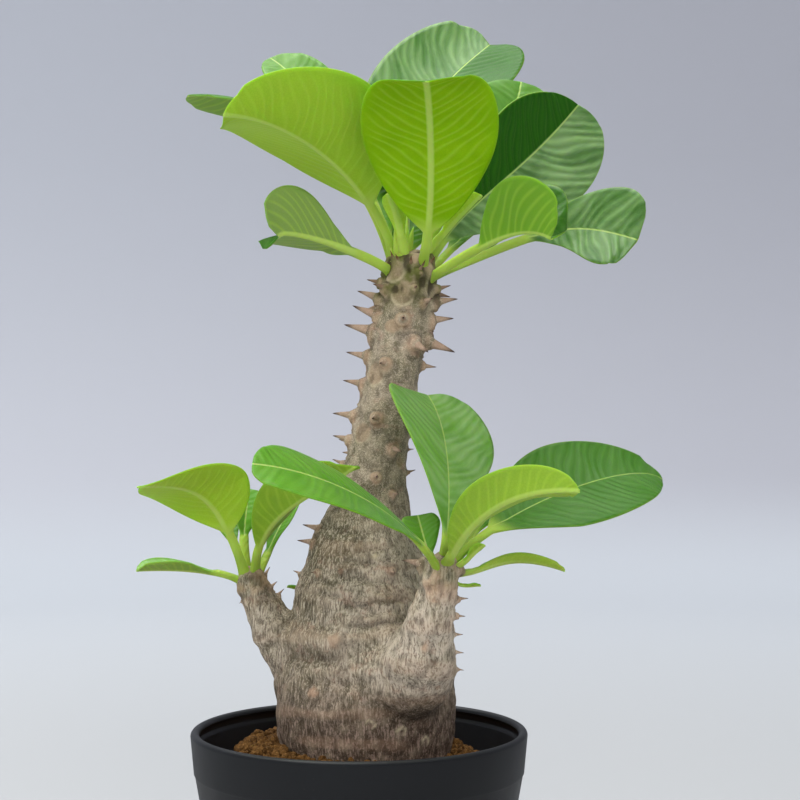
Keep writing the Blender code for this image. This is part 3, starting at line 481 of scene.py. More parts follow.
def draw_rings(name, profile, sides, fill, closed=True):
    """A filled ring drawn along a profile of radii and heights, its last ring filled if closed."""
    radius, level = profile[0]
    obj = fresh(name, bpy.ops.mesh.primitive_circle_add, vertices=sides, radius=radius * MM,
                fill_type=fill, location=(0, 0, level * MM))
    bpy.ops.object.transform_apply(location=True, rotation=False, scale=False)
    bpy.ops.object.mode_set(mode="EDIT")
    bpy.ops.mesh.select_mode(type="EDGE")
    bpy.ops.mesh.select_all(action="SELECT")
    bpy.ops.mesh.region_to_loop()
    for next_radius, next_level in profile[1:]:
        move = (0, 0, (next_level - level) * MM)
        bpy.ops.mesh.extrude_edges_move(TRANSFORM_OT_translate={"value": move})
        grow_by = next_radius / radius
        bpy.ops.transform.resize(value=(grow_by, grow_by, 1), center_override=(0, 0, 0))
        radius, level = next_radius, next_level
    if closed:
        bpy.ops.mesh.edge_face_add()
        bpy.ops.mesh.select_all(action="SELECT")
        bpy.ops.mesh.normals_make_consistent(inside=False)
    bpy.ops.object.mode_set(mode="OBJECT")
    return obj


def ease(value, low, high):
    """A soft step from 0 at low to 1 at high."""
    t = np.clip((value - low) / (high - low), 0, 1)
    return t * t * (3 - 2 * t)


def band(value, *limits):
    """A soft step up between the first two limits, and down again between the last two."""
    return ease(value, *limits[:2]) * (1 - ease(value, *limits[2:]))


def bell(value):
    """A rounded bump of 1 at 0 that has faded away by 2 to either side."""
    return np.exp(-(value ** 2))


def keep_larger(values, rows, column, new):
    """Raise one column of some rows to new values where these are larger."""
    values[rows, column] = np.maximum(values[rows, column], new)


# Work on materials

class Nodes:
    """A node tree, with one call for each kind of node that the finishes use."""

    def __init__(self, tree):
        self.tree = tree

    def add(self, kind, values=None, **settings):
        node = self.tree.nodes.new("ShaderNode" + kind)
        for key, value in settings.items():
            setattr(node, key, value)
        for key, value in (values or {}).items():
            self.feed(node.inputs[key], value)
        return node

    def feed(self, socket, value):
        if isinstance(value, bpy.types.NodeSocket):
            self.tree.links.new(value, socket)
        else:
            socket.default_value = value

    def math(self, operation, a, b=0.0):
        return self.add("Math", {0: a, 1: b}, operation=operation).outputs[0]

    def times(self, a, b):
        return self.math("MULTIPLY", a, b)

    def total(self, *parts):
        """The sum of some values, each with its weight."""
        result = 0.0
        for value, weight in parts:
            values = {0: value, 1: weight, 2: result}
            result = self.add("Math", values, operation="MULTIPLY_ADD").outputs[0]
        return result

    def step(self, value, start, end):
        """A soft step from 0 at the start to 1 at the end, which may lie below the start."""
        values = {"Value": value, "From Min": start, "From Max": end}
        node = self.add("MapRange", values, interpolation_type="SMOOTHSTEP", clamp=True)
        return node.outputs["Result"]

    def blend(self, share, a, b):
        return self.add("Mix", {0: share, 6: a, 7: b}, data_type="RGBA").outputs[2]

    def tint(self, colour, share, shade, strength=None):
        """A colour with a share of another mixed in, which is given in screen values."""
        if strength is not None:
            share = self.times(share, strength)
        return self.blend(share, colour, screen(*shade))

    def between(self, share, a, b):
        return self.add("Mix", {0: share, 2: a, 3: b}, data_type="FLOAT").outputs[0]

    def stretch(self, vector, x, y, z):
        values = {0: vector, 1: (x, y, z)}
        return self.add("VectorMath", values, operation="MULTIPLY").outputs[0]

    def split(self, vector):
        parts = self.add("SeparateXYZ", {0: vector}).outputs
        return parts[0], parts[1], parts[2]

    def noise(self, vector, size, detail=2.0, rough=0.5, twist=0.0):
        """Soft noise from 0 to 1 with features of a size in millimetres."""
        values = {"Vector": vector, "Scale": 1 / size, "Detail": detail, "Roughness": rough,
                  "Distortion": twist}
        return self.add("TexNoise", values).outputs["Fac"]

    def number(self, name):
        """A number that is kept for each vertex."""
        return self.add("Attribute", attribute_name=name).outputs["Fac"]

    def numbers(self, name):
        """Three numbers that are kept for each vertex."""
        return self.split(self.add("Attribute", attribute_name=name).outputs["Vector"])

    def group(self, tree, **values):
        node = self.tree.nodes.new("ShaderNodeGroup")
        node.node_tree = tree
        for key, value in values.items():
            self.feed(node.inputs[key], value)
        return node.outputs

    def patches(self, place, size, cover, softness):
        given = {"Place": place, "Size": size, "Cover": cover, "Softness": softness}
        return self.group(PATCHES, **given)["Mask"]

    def speckle(self, place, size, amount):
        found = self.group(SPECKLE, Place=place, Size=size, Amount=amount)
        return found["Mask"], found["Height"]


class Finish(Nodes):
    """A material, with its place on the piece in millimetres."""

    def __init__(self, name):
        self.material = bpy.data.materials.new(name)
        self.material.use_nodes = True
        super().__init__(self.material.node_tree)
        self.shader = self.tree.nodes["Principled BSDF"]
        place = self.add("TexCoord").outputs["Object"]
        self.place = self.add("VectorMath", {0: place, 3: 1 / MM}, operation="SCALE").outputs[0]

    def set(self, **values):
        for key, value in values.items():
            self.feed(self.shader.inputs[key.replace("_", " ")], value)

    def bump(self, height, distance, strength=1.0):
        """Relief of a depth in millimetres."""
        values = {"Height": height, "Distance": distance * MM, "Strength": strength}
        self.feed(self.shader.inputs["Normal"], self.add("Bump", values).outputs["Normal"])


def start_group(name, inputs, outputs):
    """A new node group that takes a place and some numbers, and puts out some numbers."""
    tree = bpy.data.node_groups.new(name, "ShaderNodeTree")
    tree.interface.new_socket("Place", in_out="INPUT", socket_type="NodeSocketVector")
    for way, sockets in (("INPUT", inputs), ("OUTPUT", outputs)):
        for socket in sockets:
            tree.interface.new_socket(socket, in_out=way, socket_type="NodeSocketFloat")
    given = tree.nodes.new("NodeGroupInput")
    result = tree.nodes.new("NodeGroupOutput")
    return Nodes(tree), given.outputs, result.inputs


def make_patches():
    """Patches with soft ragged edges: where they are, as a mask from 0 to 1."""
    nodes, given, result = start_group("patches", ("Size", "Cover", "Softness"), ("Mask",))
    scale = nodes.math("DIVIDE", 1.0, given["Size"])
    values = {"Vector": given["Place"], "Scale": scale, "Detail": 4.0, "Roughness": 0.6}
    field = nodes.add("TexNoise", values).outputs["Fac"]
    middle = nodes.math("SUBTRACT", 1.0, given["Cover"])
    low = nodes.math("SUBTRACT", middle, given["Softness"])
    high = nodes.math("ADD", middle, given["Softness"])
    nodes.feed(result["Mask"], nodes.step(field, low, high))
    return nodes.tree


def make_speckle():
    """Fine grain: a mask of small specks, and a height to go with it."""
    nodes, given, result = start_group("speckle", ("Size", "Amount"), ("Mask", "Height"))
    scale = nodes.math("DIVIDE", 1.0, given["Size"])
    values = {"Vector": given["Place"], "Scale": scale, "Detail": 3.0, "Roughness": 0.7}
    field = nodes.add("TexNoise", values).outputs["Fac"]
    low = nodes.math("SUBTRACT", 0.72, nodes.times(given["Amount"], 0.3))
    nodes.feed(result["Mask"], nodes.step(field, low, nodes.math("ADD", low, 0.1)))
    nodes.feed(result["Height"], field)
    return nodes.tree


PATCHES = make_patches()
SPECKLE = make_speckle()


def leaf_finish():
    """Glossy quilted green above, matte lime with a raised pale midrib below, pale stalk."""
    f = Finish("leaf")
    phase, offset, _rest = f.numbers("veins")
    under, edge, stalk = f.numbers("faces")
    age_and_light, painted_haze, painted_sheen = f.numbers("age_and_light")
    patch = f.patches(f.place, 16.0, 0.5, 0.16)
    cells = f.add("TexVoronoi", {"Vector": f.place, "Scale": 1 / 0.85}, feature="DISTANCE_TO_EDGE")
    net = f.step(cells.outputs["Distance"], 0.16, 0.02)
    turn = f.math("FRACT", f.math("ADD", phase, 0.5))
    away = f.math("ABSOLUTE", f.math("SUBTRACT", turn, 0.5))
    vein = f.times(f.step(away, f.between(under, 0.17, 0.28), 0.0), f.step(edge, 1.0, 0.75))
    swell = f.step(away, 0.0, 0.5)
    aside = f.math("ABSOLUTE", offset)

    above = f.blend(patch, screen(84, 142, 22), screen(100, 156, 34))
    # Darker for old leaves and paler for young ones: partly the leaf's age, partly painted light and shade
    above = f.tint(above, f.step(age_and_light, 0.0, 1.0), (28, 84, 8))
    above = f.tint(above, f.step(age_and_light, -0.1, -1.0), (148, 192, 44))
    above = f.tint(above, swell, (96, 160, 44), 0.12)
    # Painted sheen: pale highlight streaks painted on the bulges between the side veins
    sheen_place = f.add("CombineXYZ", {0: phase, 1: f.times(offset, 0.16)}).outputs[0]
    sheen_streaks = f.between(f.patches(sheen_place, 2.3, 0.52, 0.14), 0.35, 1.0)
    sheen_streaks = f.times(sheen_streaks, f.between(swell, 0.6, 1.0))
    above = f.tint(above, f.times(sheen_streaks, painted_sheen), (166, 198, 136))
    above = f.tint(above, vein, (120, 168, 70), 0.12)
    above = f.tint(above, f.step(aside, 0.42, 0.14), (178, 204, 112), 0.8)

    below = f.blend(patch, screen(130, 174, 0), screen(143, 185, 8))
    # The lower side darker for old leaves and paler for young ones, partly painted light and shade, with
    # painted haze: a pale grey-green sheen painted on
    below = f.tint(below, f.step(age_and_light, 0.0, 1.0), (104, 156, 40))
    below = f.tint(below, painted_haze, (132, 152, 90))
    below = f.tint(below, f.step(age_and_light, -0.4, -1.0), (176, 206, 64))
    below = f.tint(below, net, (104, 150, 6), 0.14)
    below = f.tint(below, vein, (184, 212, 80), 0.22)
    below = f.tint(below, f.step(aside, 1.25, 0.5), (186, 208, 104), 0.75)

    colour = f.blend(under, above, below)
    # A pale rim painted along the edge: a painted highlight
    colour = f.tint(colour, f.step(edge, 0.965, 1.0), (160, 184, 70), 0.2)
    colour = f.tint(colour, f.step(stalk, 0.0, 0.9), (170, 196, 82))
    colour = f.tint(colour, f.step(stalk, 1.0, 1.9), (146, 172, 66))

    _mask, grain = f.speckle(f.place, 0.6, 0.5)
    waves = f.noise(f.place, 7.0, 1.0)
    upper_relief = f.total((waves, 2.2), (swell, 0.8), (net, -0.16), (grain, 0.14))
    lower_relief = f.total((vein, 0.4), (net, 0.12), (grain, 0.1))
    f.bump(f.between(under, upper_relief, lower_relief), 0.16, 0.8)
    rough = f.between(under, f.between(grain, 0.26, 0.44), 0.52)
    gloss = f.between(under, f.between(painted_sheen, 0.06, 0.3), 0.0)
    f.set(Base_Color=colour, Roughness=rough, Coat_Weight=gloss, Coat_Roughness=0.38)
    f.set(Subsurface_Weight=0.85, Subsurface_Radius=(0.45, 1.0, 0.12))
    f.set(Subsurface_Scale=0.8 * MM, Specular_IOR_Level=0.09)
    return f.material


def bark_colours(f):
    """The colours of the bark, with its painted light and shade, and the height of its fissures."""
    pale_and_lit, hollow_shade, tan = f.numbers("marks")
    scar, ring, green = f.numbers("scars")
    painted_light, shade, _rest = f.numbers("light_and_shade")
    aside, _away, level = f.split(f.place)
    body = f.step(level, 176.0, 150.0)
    grey = f.patches(f.place, 11.0, 0.5, 0.12)
    olive = f.patches(f.stretch(f.place, 1, 1, 0.8), 7.0, 0.44, 0.1)
    pink = f.patches(f.stretch(f.place, 1, 1, 1.6), 6.0, 0.38, 0.08)
    colour = f.blend(grey, screen(156, 141, 121), screen(130, 120, 98))
    # Painted light on the lit branches and the front of the body, and painted shade high on the body's left
    colour = f.tint(colour, painted_light, (210, 195, 175), 0.85)
    colour = f.tint(colour, shade, (104, 98, 74), 0.9)
    colour = f.tint(colour, olive, (108, 104, 74), 0.5)
    colour = f.tint(colour, pink, (182, 146, 126), 0.6)

    streak = f.noise(f.stretch(f.place, 1.0, 1.0, 0.2), 0.58, 2.5, 0.6, 0.6)
    worm = f.noise(f.stretch(f.place, 1.0, 1.0, 0.5), 0.7, 2.0, 0.55, 1.2)
    fissure = f.between(0.35, streak, worm)
    pale_line = f.times(f.step(fissure, 0.505, 0.575), body)
    dark_line = f.times(f.step(fissure, 0.49, 0.42), body)
    colour = f.tint(colour, pale_line, (210, 196, 174), 0.75)
    colour = f.tint(colour, dark_line, (70, 58, 45), 0.6)

    # Painted shade: the body darker low down, most of all to the right
    foot = f.step(level, 117.0, 92.0)
    right = f.step(aside, -14.0, 20.0)
    colour = f.tint(colour, f.times(foot, f.between(right, 0.82, 0.95)), (74, 58, 47))
    colour = f.tint(colour, f.times(foot, pale_line), (176, 148, 132), 0.5)

    trunk = f.times(f.step(level, 150.0, 166.0), f.step(level, 236.0, 222.0))
    thread = f.step(f.noise(f.place, 0.75, 2.0, 0.6, 1.6), 0.5, 0.58)
    colour = f.tint(colour, f.times(thread, f.between(trunk, 0.1, 0.6)), (206, 190, 168))
    dark, _height = f.speckle(f.stretch(f.place, 1.3, 1.3, 1.1), 0.7, 0.34)
    colour = f.tint(colour, dark, (76, 58, 44), 0.6)

    colour = f.tint(colour, tan, (198, 160, 131), 0.65)
    # Paler on raised parts: the bark's own pale crust with painted light
    colour = f.tint(colour, pale_and_lit, (208, 188, 160), 0.55)
    mossy = f.patches(f.place, 4.0, 0.5, 0.14)
    colour = f.tint(colour, f.times(green, f.between(mossy, 0.35, 0.95)), (92, 96, 44))
    mottled, _height = f.speckle(f.place, 0.8, 0.9)
    inside = f.blend(mottled, screen(146, 126, 98), screen(168, 146, 118))
    colour = f.blend(f.times(scar, 0.5), colour, inside)
    colour = f.tint(colour, ring, (212, 196, 162), 0.8)
    # Painted shade in creases, hollows and under the spines' feet
    colour = f.tint(colour, hollow_shade, (46, 37, 26), 0.85)

    _mask, grain = f.speckle(f.place, 0.6, 0.66)
    lines = f.times(f.math("SUBTRACT", fissure, 0.5), body)
    return colour, f.total((lines, 5.0), (grain, 1.2), (dark, -0.3))


def bark_finish():
    """Grey and tan bark with fine upright fissures on the swollen body, green near the top."""
    f = Finish("bark")
    colour, height = bark_colours(f)
    f.bump(height, 0.25, 0.9)
    f.set(Base_Color=colour, Roughness=0.85, Specular_IOR_Level=0.2)
    return f.material


def spine_finish():
    """The bark's own colours at the foot, pinkish above it, and a dark tip."""
    f = Finish("spine")
    tip, young = f.number("tip"), f.number("young")
    colour, height = bark_colours(f)
    colour = f.tint(colour, f.step(tip, 0.05, 0.4), (172, 142, 122), 0.55)
    colour = f.tint(colour, f.step(tip, 0.62, 0.98), (62, 44, 36))
    colour = f.tint(colour, f.times(young, f.step(tip, -0.1, 0.3)), (96, 66, 44))
    f.bump(height, 0.12, 0.7)
    f.set(Base_Color=colour, Roughness=f.between(f.step(tip, 0.3, 0.9), 0.8, 0.45))
    f.set(Specular_IOR_Level=0.25)
    return f.material


def soil_finish():
    """Porous golden-brown clay, each granule a little different."""
    f = Finish("soil")
    flecks, grain = f.speckle(f.place, 0.5, 0.6)
    pits = f.patches(f.place, 0.8, 0.4, 0.06)
    colour = f.blend(f.number("tone"), screen(78, 53, 26), screen(120, 85, 46))
    colour = f.tint(colour, flecks, (176, 132, 80), 0.5)
    colour = f.tint(colour, pits, (70, 44, 18), 0.55)
    f.bump(f.total((grain, 1.0), (pits, -0.6)), 0.25, 1.0)
    f.set(Base_Color=colour, Roughness=0.95, Specular_IOR_Level=0.2)
    return f.material


def pot_finish():
    """Charcoal moulded plastic with a fine satin grain, faint scuffs and a little dust."""
    f = Finish("pot")
    cloud = f.patches(f.place, 22.0, 0.5, 0.2)
    _mask, grain = f.speckle(f.place, 0.35, 0.5)
    dust, _height = f.speckle(f.place, 1.4, 0.12)
    scuff = f.patches(f.stretch(f.place, 0.25, 0.25, 2.4), 3.0, 0.3, 0.05)
    _aside, _away, level = f.split(f.place)
    colour = f.blend(cloud, screen(13, 14, 16), screen(17, 18, 20))
    colour = f.tint(colour, scuff, (48, 50, 55), 0.18)
    # Painted highlight: lighter along the top of the rim
    colour = f.tint(colour, f.step(level, POT_HEIGHT - 0.9, POT_HEIGHT), (60, 62, 66), 0.35)
    colour = f.tint(colour, dust, (120, 112, 98), 0.25)
    f.bump(f.total((grain, 0.5), (scuff, -0.1)), 0.06, 0.5)
    rough = f.between(scuff, f.between(cloud, 0.4, 0.48), 0.58)
    f.set(Base_Color=colour, Roughness=rough, Specular_IOR_Level=0.5)
    return f.material


# The stem

def unit(rows):
    return rows / np.linalg.norm(rows, axis=-1, keepdims=True)


def direction(azimuth, elevation=0.0):
    """A unit vector at an azimuth from +X towards +Y and an elevation, in degrees."""
    az, el = math.radians(azimuth), math.radians(elevation)
    return np.array([math.cos(el) * math.cos(az), math.cos(el) * math.sin(az), math.sin(el)])


def along(line, share):
    """Centre and radius at shares of a centre line's length, on a smooth curve."""
    line = np.array(line, float)
    steps = np.linalg.norm(np.diff(line[:, :3], axis=0), axis=1)
    reach = np.concatenate([[0], np.cumsum(steps)]) / steps.sum()
    slope = np.gradient(line, reach, axis=0)
    share = np.clip(np.atleast_1d(share), 0, 1)
    i = np.clip(np.searchsorted(reach, share, side="right") - 1, 0, len(reach) - 2)
    span = (reach[i + 1] - reach[i])[:, None]
    t = (share - reach[i])[:, None] / span
    value = ((1 + 2 * t) * (1 - t) ** 2 * line[i] + t * (1 - t) ** 2 * span * slope[i]
             + t * t * (3 - 2 * t) * line[i + 1] + t * t * (t - 1) * span * slope[i + 1])
    return value[:, :3], np.maximum(value[:, 3], 0)


def frames(line, share, aside=(1.0, 0.0, 0.0)):
    """Unit vectors along the line, to one side of it and square to both."""
    share, aside = np.asarray(share), np.asarray(aside)
    ahead, _radius = along(line, share + NUDGE)
    behind, _radius = along(line, share - NUDGE)
    forward = unit(ahead - behind)
    right = unit(aside - forward * (forward @ aside)[:, None])
    return forward, right, np.cross(forward, right)


def seat_on_stem(line, height, azimuth):
    """A point on the stem's side, the way out of it there, and the way along it."""
    shares = np.linspace(0, 1, 401)
    centres, _radii = along(line, shares)
    share = float(np.interp(height, centres[:, 2], shares))
    centre, radius = along(line, share)
    if line is TRUNK:
        out = direction(azimuth)
        return centre[0] + radius[0] * out, out, np.array([0.0, 0.0, 1.0])
    forward, right, back = frames(line, [share])
    az = math.radians(azimuth)
    out = math.cos(az) * right[0] + math.sin(az) * back[0]
    return centre[0] + radius[0] * out, out, forward[0]


def rear_spines():
    """Spines of the side that is turned away, on a golden-angle spiral."""
    draw = random.Random(SEED)
    spines = []
    low, high = REAR_HEIGHTS
    first, last = REAR_AZIMUTHS
    for i in range(int((high - low) / REAR_SPACING)):
        azimuth = first + (i * GOLDEN_ANGLE) % (last - first)
        length = draw.uniform(*REAR_SPINE_LENGTH)
        spines.append((high - i * REAR_SPACING, azimuth, length, draw.uniform(*REAR_TILTS)))
    return spines


SPINES = ([(TRUNK, *spine) for spine in TRUNK_SPINES + rear_spines()]
          + [(LEFT_BRANCH, *spine) for spine in LEFT_SPINES]
          + [(RIGHT_BRANCH, *spine) for spine in RIGHT_SPINES])


def grow(name, line, rings, segments, aside=(1.0, 0.0, 0.0)):
    """A sphere drawn out along a centre line, so that both its ends are closed and round."""
    obj = fresh(name, bpy.ops.mesh.primitive_uv_sphere_add, segments=segments, ring_count=rings,
                radius=1)
    points = get_points(obj) * MM
    share = 1 - np.arccos(np.clip(points[:, 2], -1, 1)) / math.pi
    angle = np.arctan2(points[:, 1], points[:, 0])
    centre, radius = along(line, share)
    _forward, right, back = frames(line, share, aside)
    out = np.cos(angle)[:, None] * right + np.sin(angle)[:, None] * back
    set_points(obj, centre + radius[:, None] * out)
    return obj


def distance_to(points, line):
    """How far points lie outside a stem's surface."""
    centres, radii = along(line, np.linspace(0, 1, 110))
    nearest = np.full(len(points), np.inf)
    for centre, radius in zip(centres, radii):
        nearest = np.minimum(nearest, np.linalg.norm(points - centre, axis=1) - radius)
    return nearest


def soften_joints(stem):
    """Fill the sharp valley between the trunk and each branch."""
    points, normals = get_points(stem), get_normals(stem)
    trunk = distance_to(points, TRUNK)
    for branch, width in zip((LEFT_BRANCH, RIGHT_BRANCH), FILLETS):
        apart = abs(distance_to(points, branch) - trunk)
        fill = np.clip(1 - apart / width, 0, 1) ** 2 * width / 4
        points += normals * fill[:, None]
    set_points(stem, points)


def local(points, seat, out, up):
    """Points as seen from a seat: to its side, above it, and outwards."""
    away = points - seat
    side = np.cross(up, out)
    return away @ side, away @ up, away @ out


def add_mounds(points, height, marks):
    """The swollen foot of each spine, a blunt cone drawn out below it, with a thin brow over it."""
    for line, level, azimuth, length, _tilt in SPINES:
        seat, out, up = seat_on_stem(line, level, azimuth)
        near = np.flatnonzero(np.linalg.norm(points - seat, axis=1) < 1.6 * length + 1)
        side, above, beyond = local(points[near], seat, out, up)
        on_bark = 1 - ease(beyond, 0.6, 0.3 * length + 0.6)
        width = 0.5 * min(length, FOOT_LIMITS[0])
        tall = np.where(above > 0, 0.75 * width, 1.4 * width)
        reach = np.hypot(side / width, above / tall)
        mound = np.clip(1 - reach, 0, 1) ** 1.3 * on_bark
        upper = ease(above, 0.0, 0.7 * width) * on_bark
        upper = upper * (1 - ease(abs(side), 0.5 * width, 1.05 * width)) * ease(beyond, -2.4, -1.0)
        brow = bell((reach - 1.3) * width / 0.45) * upper
        groove = bell((reach - 1.05) * width / 0.4) * upper
        under = bell((reach - 1.0) * width / 0.7) * ease(-above, 0, width) * on_bark
        under = under * (1 - ease(abs(side), 0.4 * width, 0.9 * width))
        rise = 0.24 * min(length, FOOT_LIMITS[1])
        height[near] += rise * mound + 0.3 * brow - 0.2 * groove - 0.15 * under
        # Paler on the brow, partly painted light, and painted shade in the groove and under the foot
        keep_larger(marks, near, PALE_AND_LIT, 0.5 * brow)
        keep_larger(marks, near, HOLLOW_SHADE, 0.5 * groove + 0.6 * under)
        keep_larger(marks, near, TAN, 0.8 * ease(mound, 0.0, 0.5))


def add_scars(points, height, scars, marks):
    """Where old leaves fell: a shallow dish with a raised rim, thickest below."""
    for level, azimuth, half_width, half_height, brown in SCARS:
        seat, out, up = seat_on_stem(TRUNK, level, azimuth)
        near = np.flatnonzero(np.linalg.norm(points - seat, axis=1) < SCAR_REACH)
        side, above, _beyond = local(points[near], seat, out, up)
        reach = np.hypot(side / half_width, above / half_height)
        inside = 1 - ease(reach, 0.8, 1.0)
        lower = ease(-above, -0.3 * half_height, 0.8 * half_height)
        rim = bell((reach - 1.02) / 0.13) * (0.12 + 0.88 * lower)
        height[near] += 0.4 * rim - 0.25 * inside * (1 - 0.5 * brown) + 0.2 * brown * inside
        keep_larger(scars, near, SCAR, inside * (0.6 + 0.4 * brown))
        keep_larger(scars, near, RING, 0.75 * rim * (1 - 0.6 * brown))
        keep_larger(marks, near, TAN, 0.6 * brown * inside)


def add_creases(points, height, marks, from_left, from_right):
    """Level creases of the body, wavering and fading at their ends, and the hollow on its right."""
    every = slice(None)
    azimuths = np.degrees(np.arctan2(points[:, 1], points[:, 0] - 2))
    body = ease(from_right, 0.5, 4) * ease(from_left, -0.5, 1.5)
    for n, (start, middle, half_span, depth, width, rise) in enumerate(CREASES):
        turned = (azimuths - middle + 180) % 360 - 180
        fade = (1 - ease(abs(turned), 0.5 * half_span, half_span)) * body
        waver = 0.6 * np.sin(turned * 0.09 + n) + 0.25 * np.sin(turned * 0.33 + 2 * n)
        above = points[:, 2] - (start + rise * turned) - waver
        groove = bell(above / width) * fade
        lip = bell((above - 2.2 * width) / (1.2 * width)) * fade
        height += depth * (0.5 * lip - groove)
        # Painted shade in each groove, and a paler lip that is partly painted light
        keep_larger(marks, every, HOLLOW_SHADE, groove * min(1, 0.8 * depth))
        keep_larger(marks, every, PALE_AND_LIT, 0.5 * lip * min(1, 2 * depth))
    place, reach, depth = HOLLOW
    dip = bell(np.linalg.norm((points - np.array(place)) / reach, axis=1))
    height -= depth * dip * ease(from_right, -0.6, 1.2)
    # Painted shade in the hollow
    keep_larger(marks, every, HOLLOW_SHADE, 0.95 * dip)
    place, reach, swell = HOLLOW_LIP
    lip = bell(np.linalg.norm((points - np.array(place)) / reach, axis=1))
    height += swell * lip
    # A paler lip over the hollow, partly painted light
    keep_larger(marks, every, PALE_AND_LIT, 0.6 * lip)


def add_blemishes(points, height, marks, scars):
    """Ragged pale rings with a dimple, and swollen tan patches."""
    for place, radius, kind in BLEMISHES:
        away = points - np.array(place)
        near = np.flatnonzero(np.linalg.norm(away, axis=1) < 3 * radius)
        ragged = uneven(points[near], *RAGGED_EDGE)
        reach = np.linalg.norm(away[near], axis=1) / radius + 0.35 * ragged
        if kind == 1:
            rim = bell((reach - 0.75) / 0.2)
            rim = rim * ease(away[near, 2] + 0.6 * away[near, 0], -0.9 * radius, 0.3 * radius)
            height[near] += 0.3 * rim - 0.25 * bell(reach / 0.4)
            keep_larger(scars, near, RING, rim)
        else:
            patch = 1 - ease(reach, 0.3, 1.1)
            height[near] += 0.25 * patch
            keep_larger(marks, near, TAN, patch)


def uneven(points, sizes, seed):
    """Smooth noise at each point, from -1 to 1, with features of a size along each axis."""
    scaled = points / np.array(sizes) + seed
    return np.array([noise.noise(Vector(row)) for row in scaled])


def relieve(stem):
    """Work the bark's relief into the mesh, and keep what the bark's colours need, painted light and shade
    among them.
    """
    points, normals = get_points(stem), get_normals(stem)
    every = slice(None)
    level = points[:, 2]
    height = np.zeros(len(points))
    marks, scars = np.zeros((len(points), 3)), np.zeros((len(points), 3))
    from_left, from_right = distance_to(points, LEFT_BRANCH), distance_to(points, RIGHT_BRANCH)
    add_mounds(points, height, marks)
    add_scars(points, height, scars, marks)
    add_creases(points, height, marks, from_left, from_right)
    add_blemishes(points, height, marks, scars)

    body = 1 - ease(level, *BODY_END)
    heads = [np.linalg.norm((points - np.array(middle)) / reach, axis=1)
             for middle, reach in HEAD_KNOBS]
    knobs = 1 - ease(np.min(heads, axis=0), 0.6, 1.0)
    broad, lumps, fine, bands = [uneven(points, *kind) for kind in BARK_RELIEF]
    height += (0.3 + 0.3 * body) * broad + (0.3 + 0.6 * knobs) * lumps
    height += (0.14 * body + 0.12) * fine
    height += 0.75 * body * ease(level, *BANDS_START) * bands

    lumps += 0.4 * fine
    pits = knobs * np.where(level > TOP_HEAD, 0.5, 0.08)
    crust = knobs * np.where(level > TOP_HEAD, 0.55, 0.95)
    # Paler on high lumps, partly painted light, and painted shade in low ones and in the pits near the
    # heads
    keep_larger(marks, every, PALE_AND_LIT, (0.35 + 0.3 * knobs) * ease(lumps, 0.05, 0.6))
    keep_larger(marks, every, HOLLOW_SHADE, (0.42 + pits) * ease(-lumps, 0.03, 0.4))
    keep_larger(marks, every, TAN, 0.3 * body * ease(bands, 0.1, 0.5))
    keep_larger(marks, every, TAN, crust * ease(broad + 0.5 * lumps, -0.3, 0.3))

    # Painted light on the branches, the front of the body and a little on the trunk; painted shade high on
    # the body's left
    lit = np.maximum(1 - ease(from_right, 0.0, 3.0), 0.5 * (1 - ease(from_left, 0.0, 2.0)))
    belly = band(level, *BELLY_BAND) * ease(points[:, 0], -16, 2)
    trunk = band(level, *TRUNK_BAND)
    painted_light = np.maximum.reduce([lit * ease(level, *LIT_START), 0.75 * belly, 0.06 * trunk])
    shade = band(level, *SHADE_BAND) * ease(-points[:, 0], -8, 4)
    keep_larger(scars, every, GREEN, ease(level, *GREEN_START))
    for line in GREEN_TOPS:
        keep_larger(scars, every, GREEN, 0.5 * ease(-distance_to(points, line), -4, 0))
    set_points(stem, points + normals * height[:, None])
    paint(stem, "marks", *np.clip(marks, 0, 1).T)
    paint(stem, "scars", *np.clip(scars, 0, 1).T)
    paint(stem, "light_and_shade", painted_light, shade, 0)


def build_stem(material):
    """The trunk, its branches and the feet of its spines, fused, softened and given relief."""
    parts = [grow("part", *row) for row in STEM_PARTS]
    draw = random.Random(SEED + 1)
    feet = [grow_spine("foot", FOOT_PROFILE, row, draw) for row in SPINES]
    stem = join("stem", parts + feet)
    modify(stem, "REMESH", mode="VOXEL", voxel_size=VOXEL * MM)
    modify(stem, "SMOOTH", factor=0.5, iterations=3)
    soften_joints(stem)
    modify(stem, "SMOOTH", factor=0.5, iterations=4)
    relieve(stem)
    stem.data.shade_smooth()
    dress(stem, material, "bark", "stem")


def grow_spine(name, profile, row, draw):
    """A spine on its seat, bent a little towards its tip."""
    line, level, azimuth, length, tilt = row
    seat, out, up = seat_on_stem(line, level, azimuth)
    side = np.cross(up, out)
    lean = math.radians(tilt)
    aim = math.cos(lean) * out + math.sin(lean) * up
    bend = draw.uniform(*SPINE_BEND) * length
    veer = draw.uniform(*SPINE_VEER) * length
    points = []
    for share, radius in profile:
        curve = max(share, 0) ** 2
        place = seat + aim * share * length + (up * bend + side * veer) * curve
        points.append((*place, radius * length))
    return grow(name, points, SPINE_RINGS, SPINE_SIDES, side)


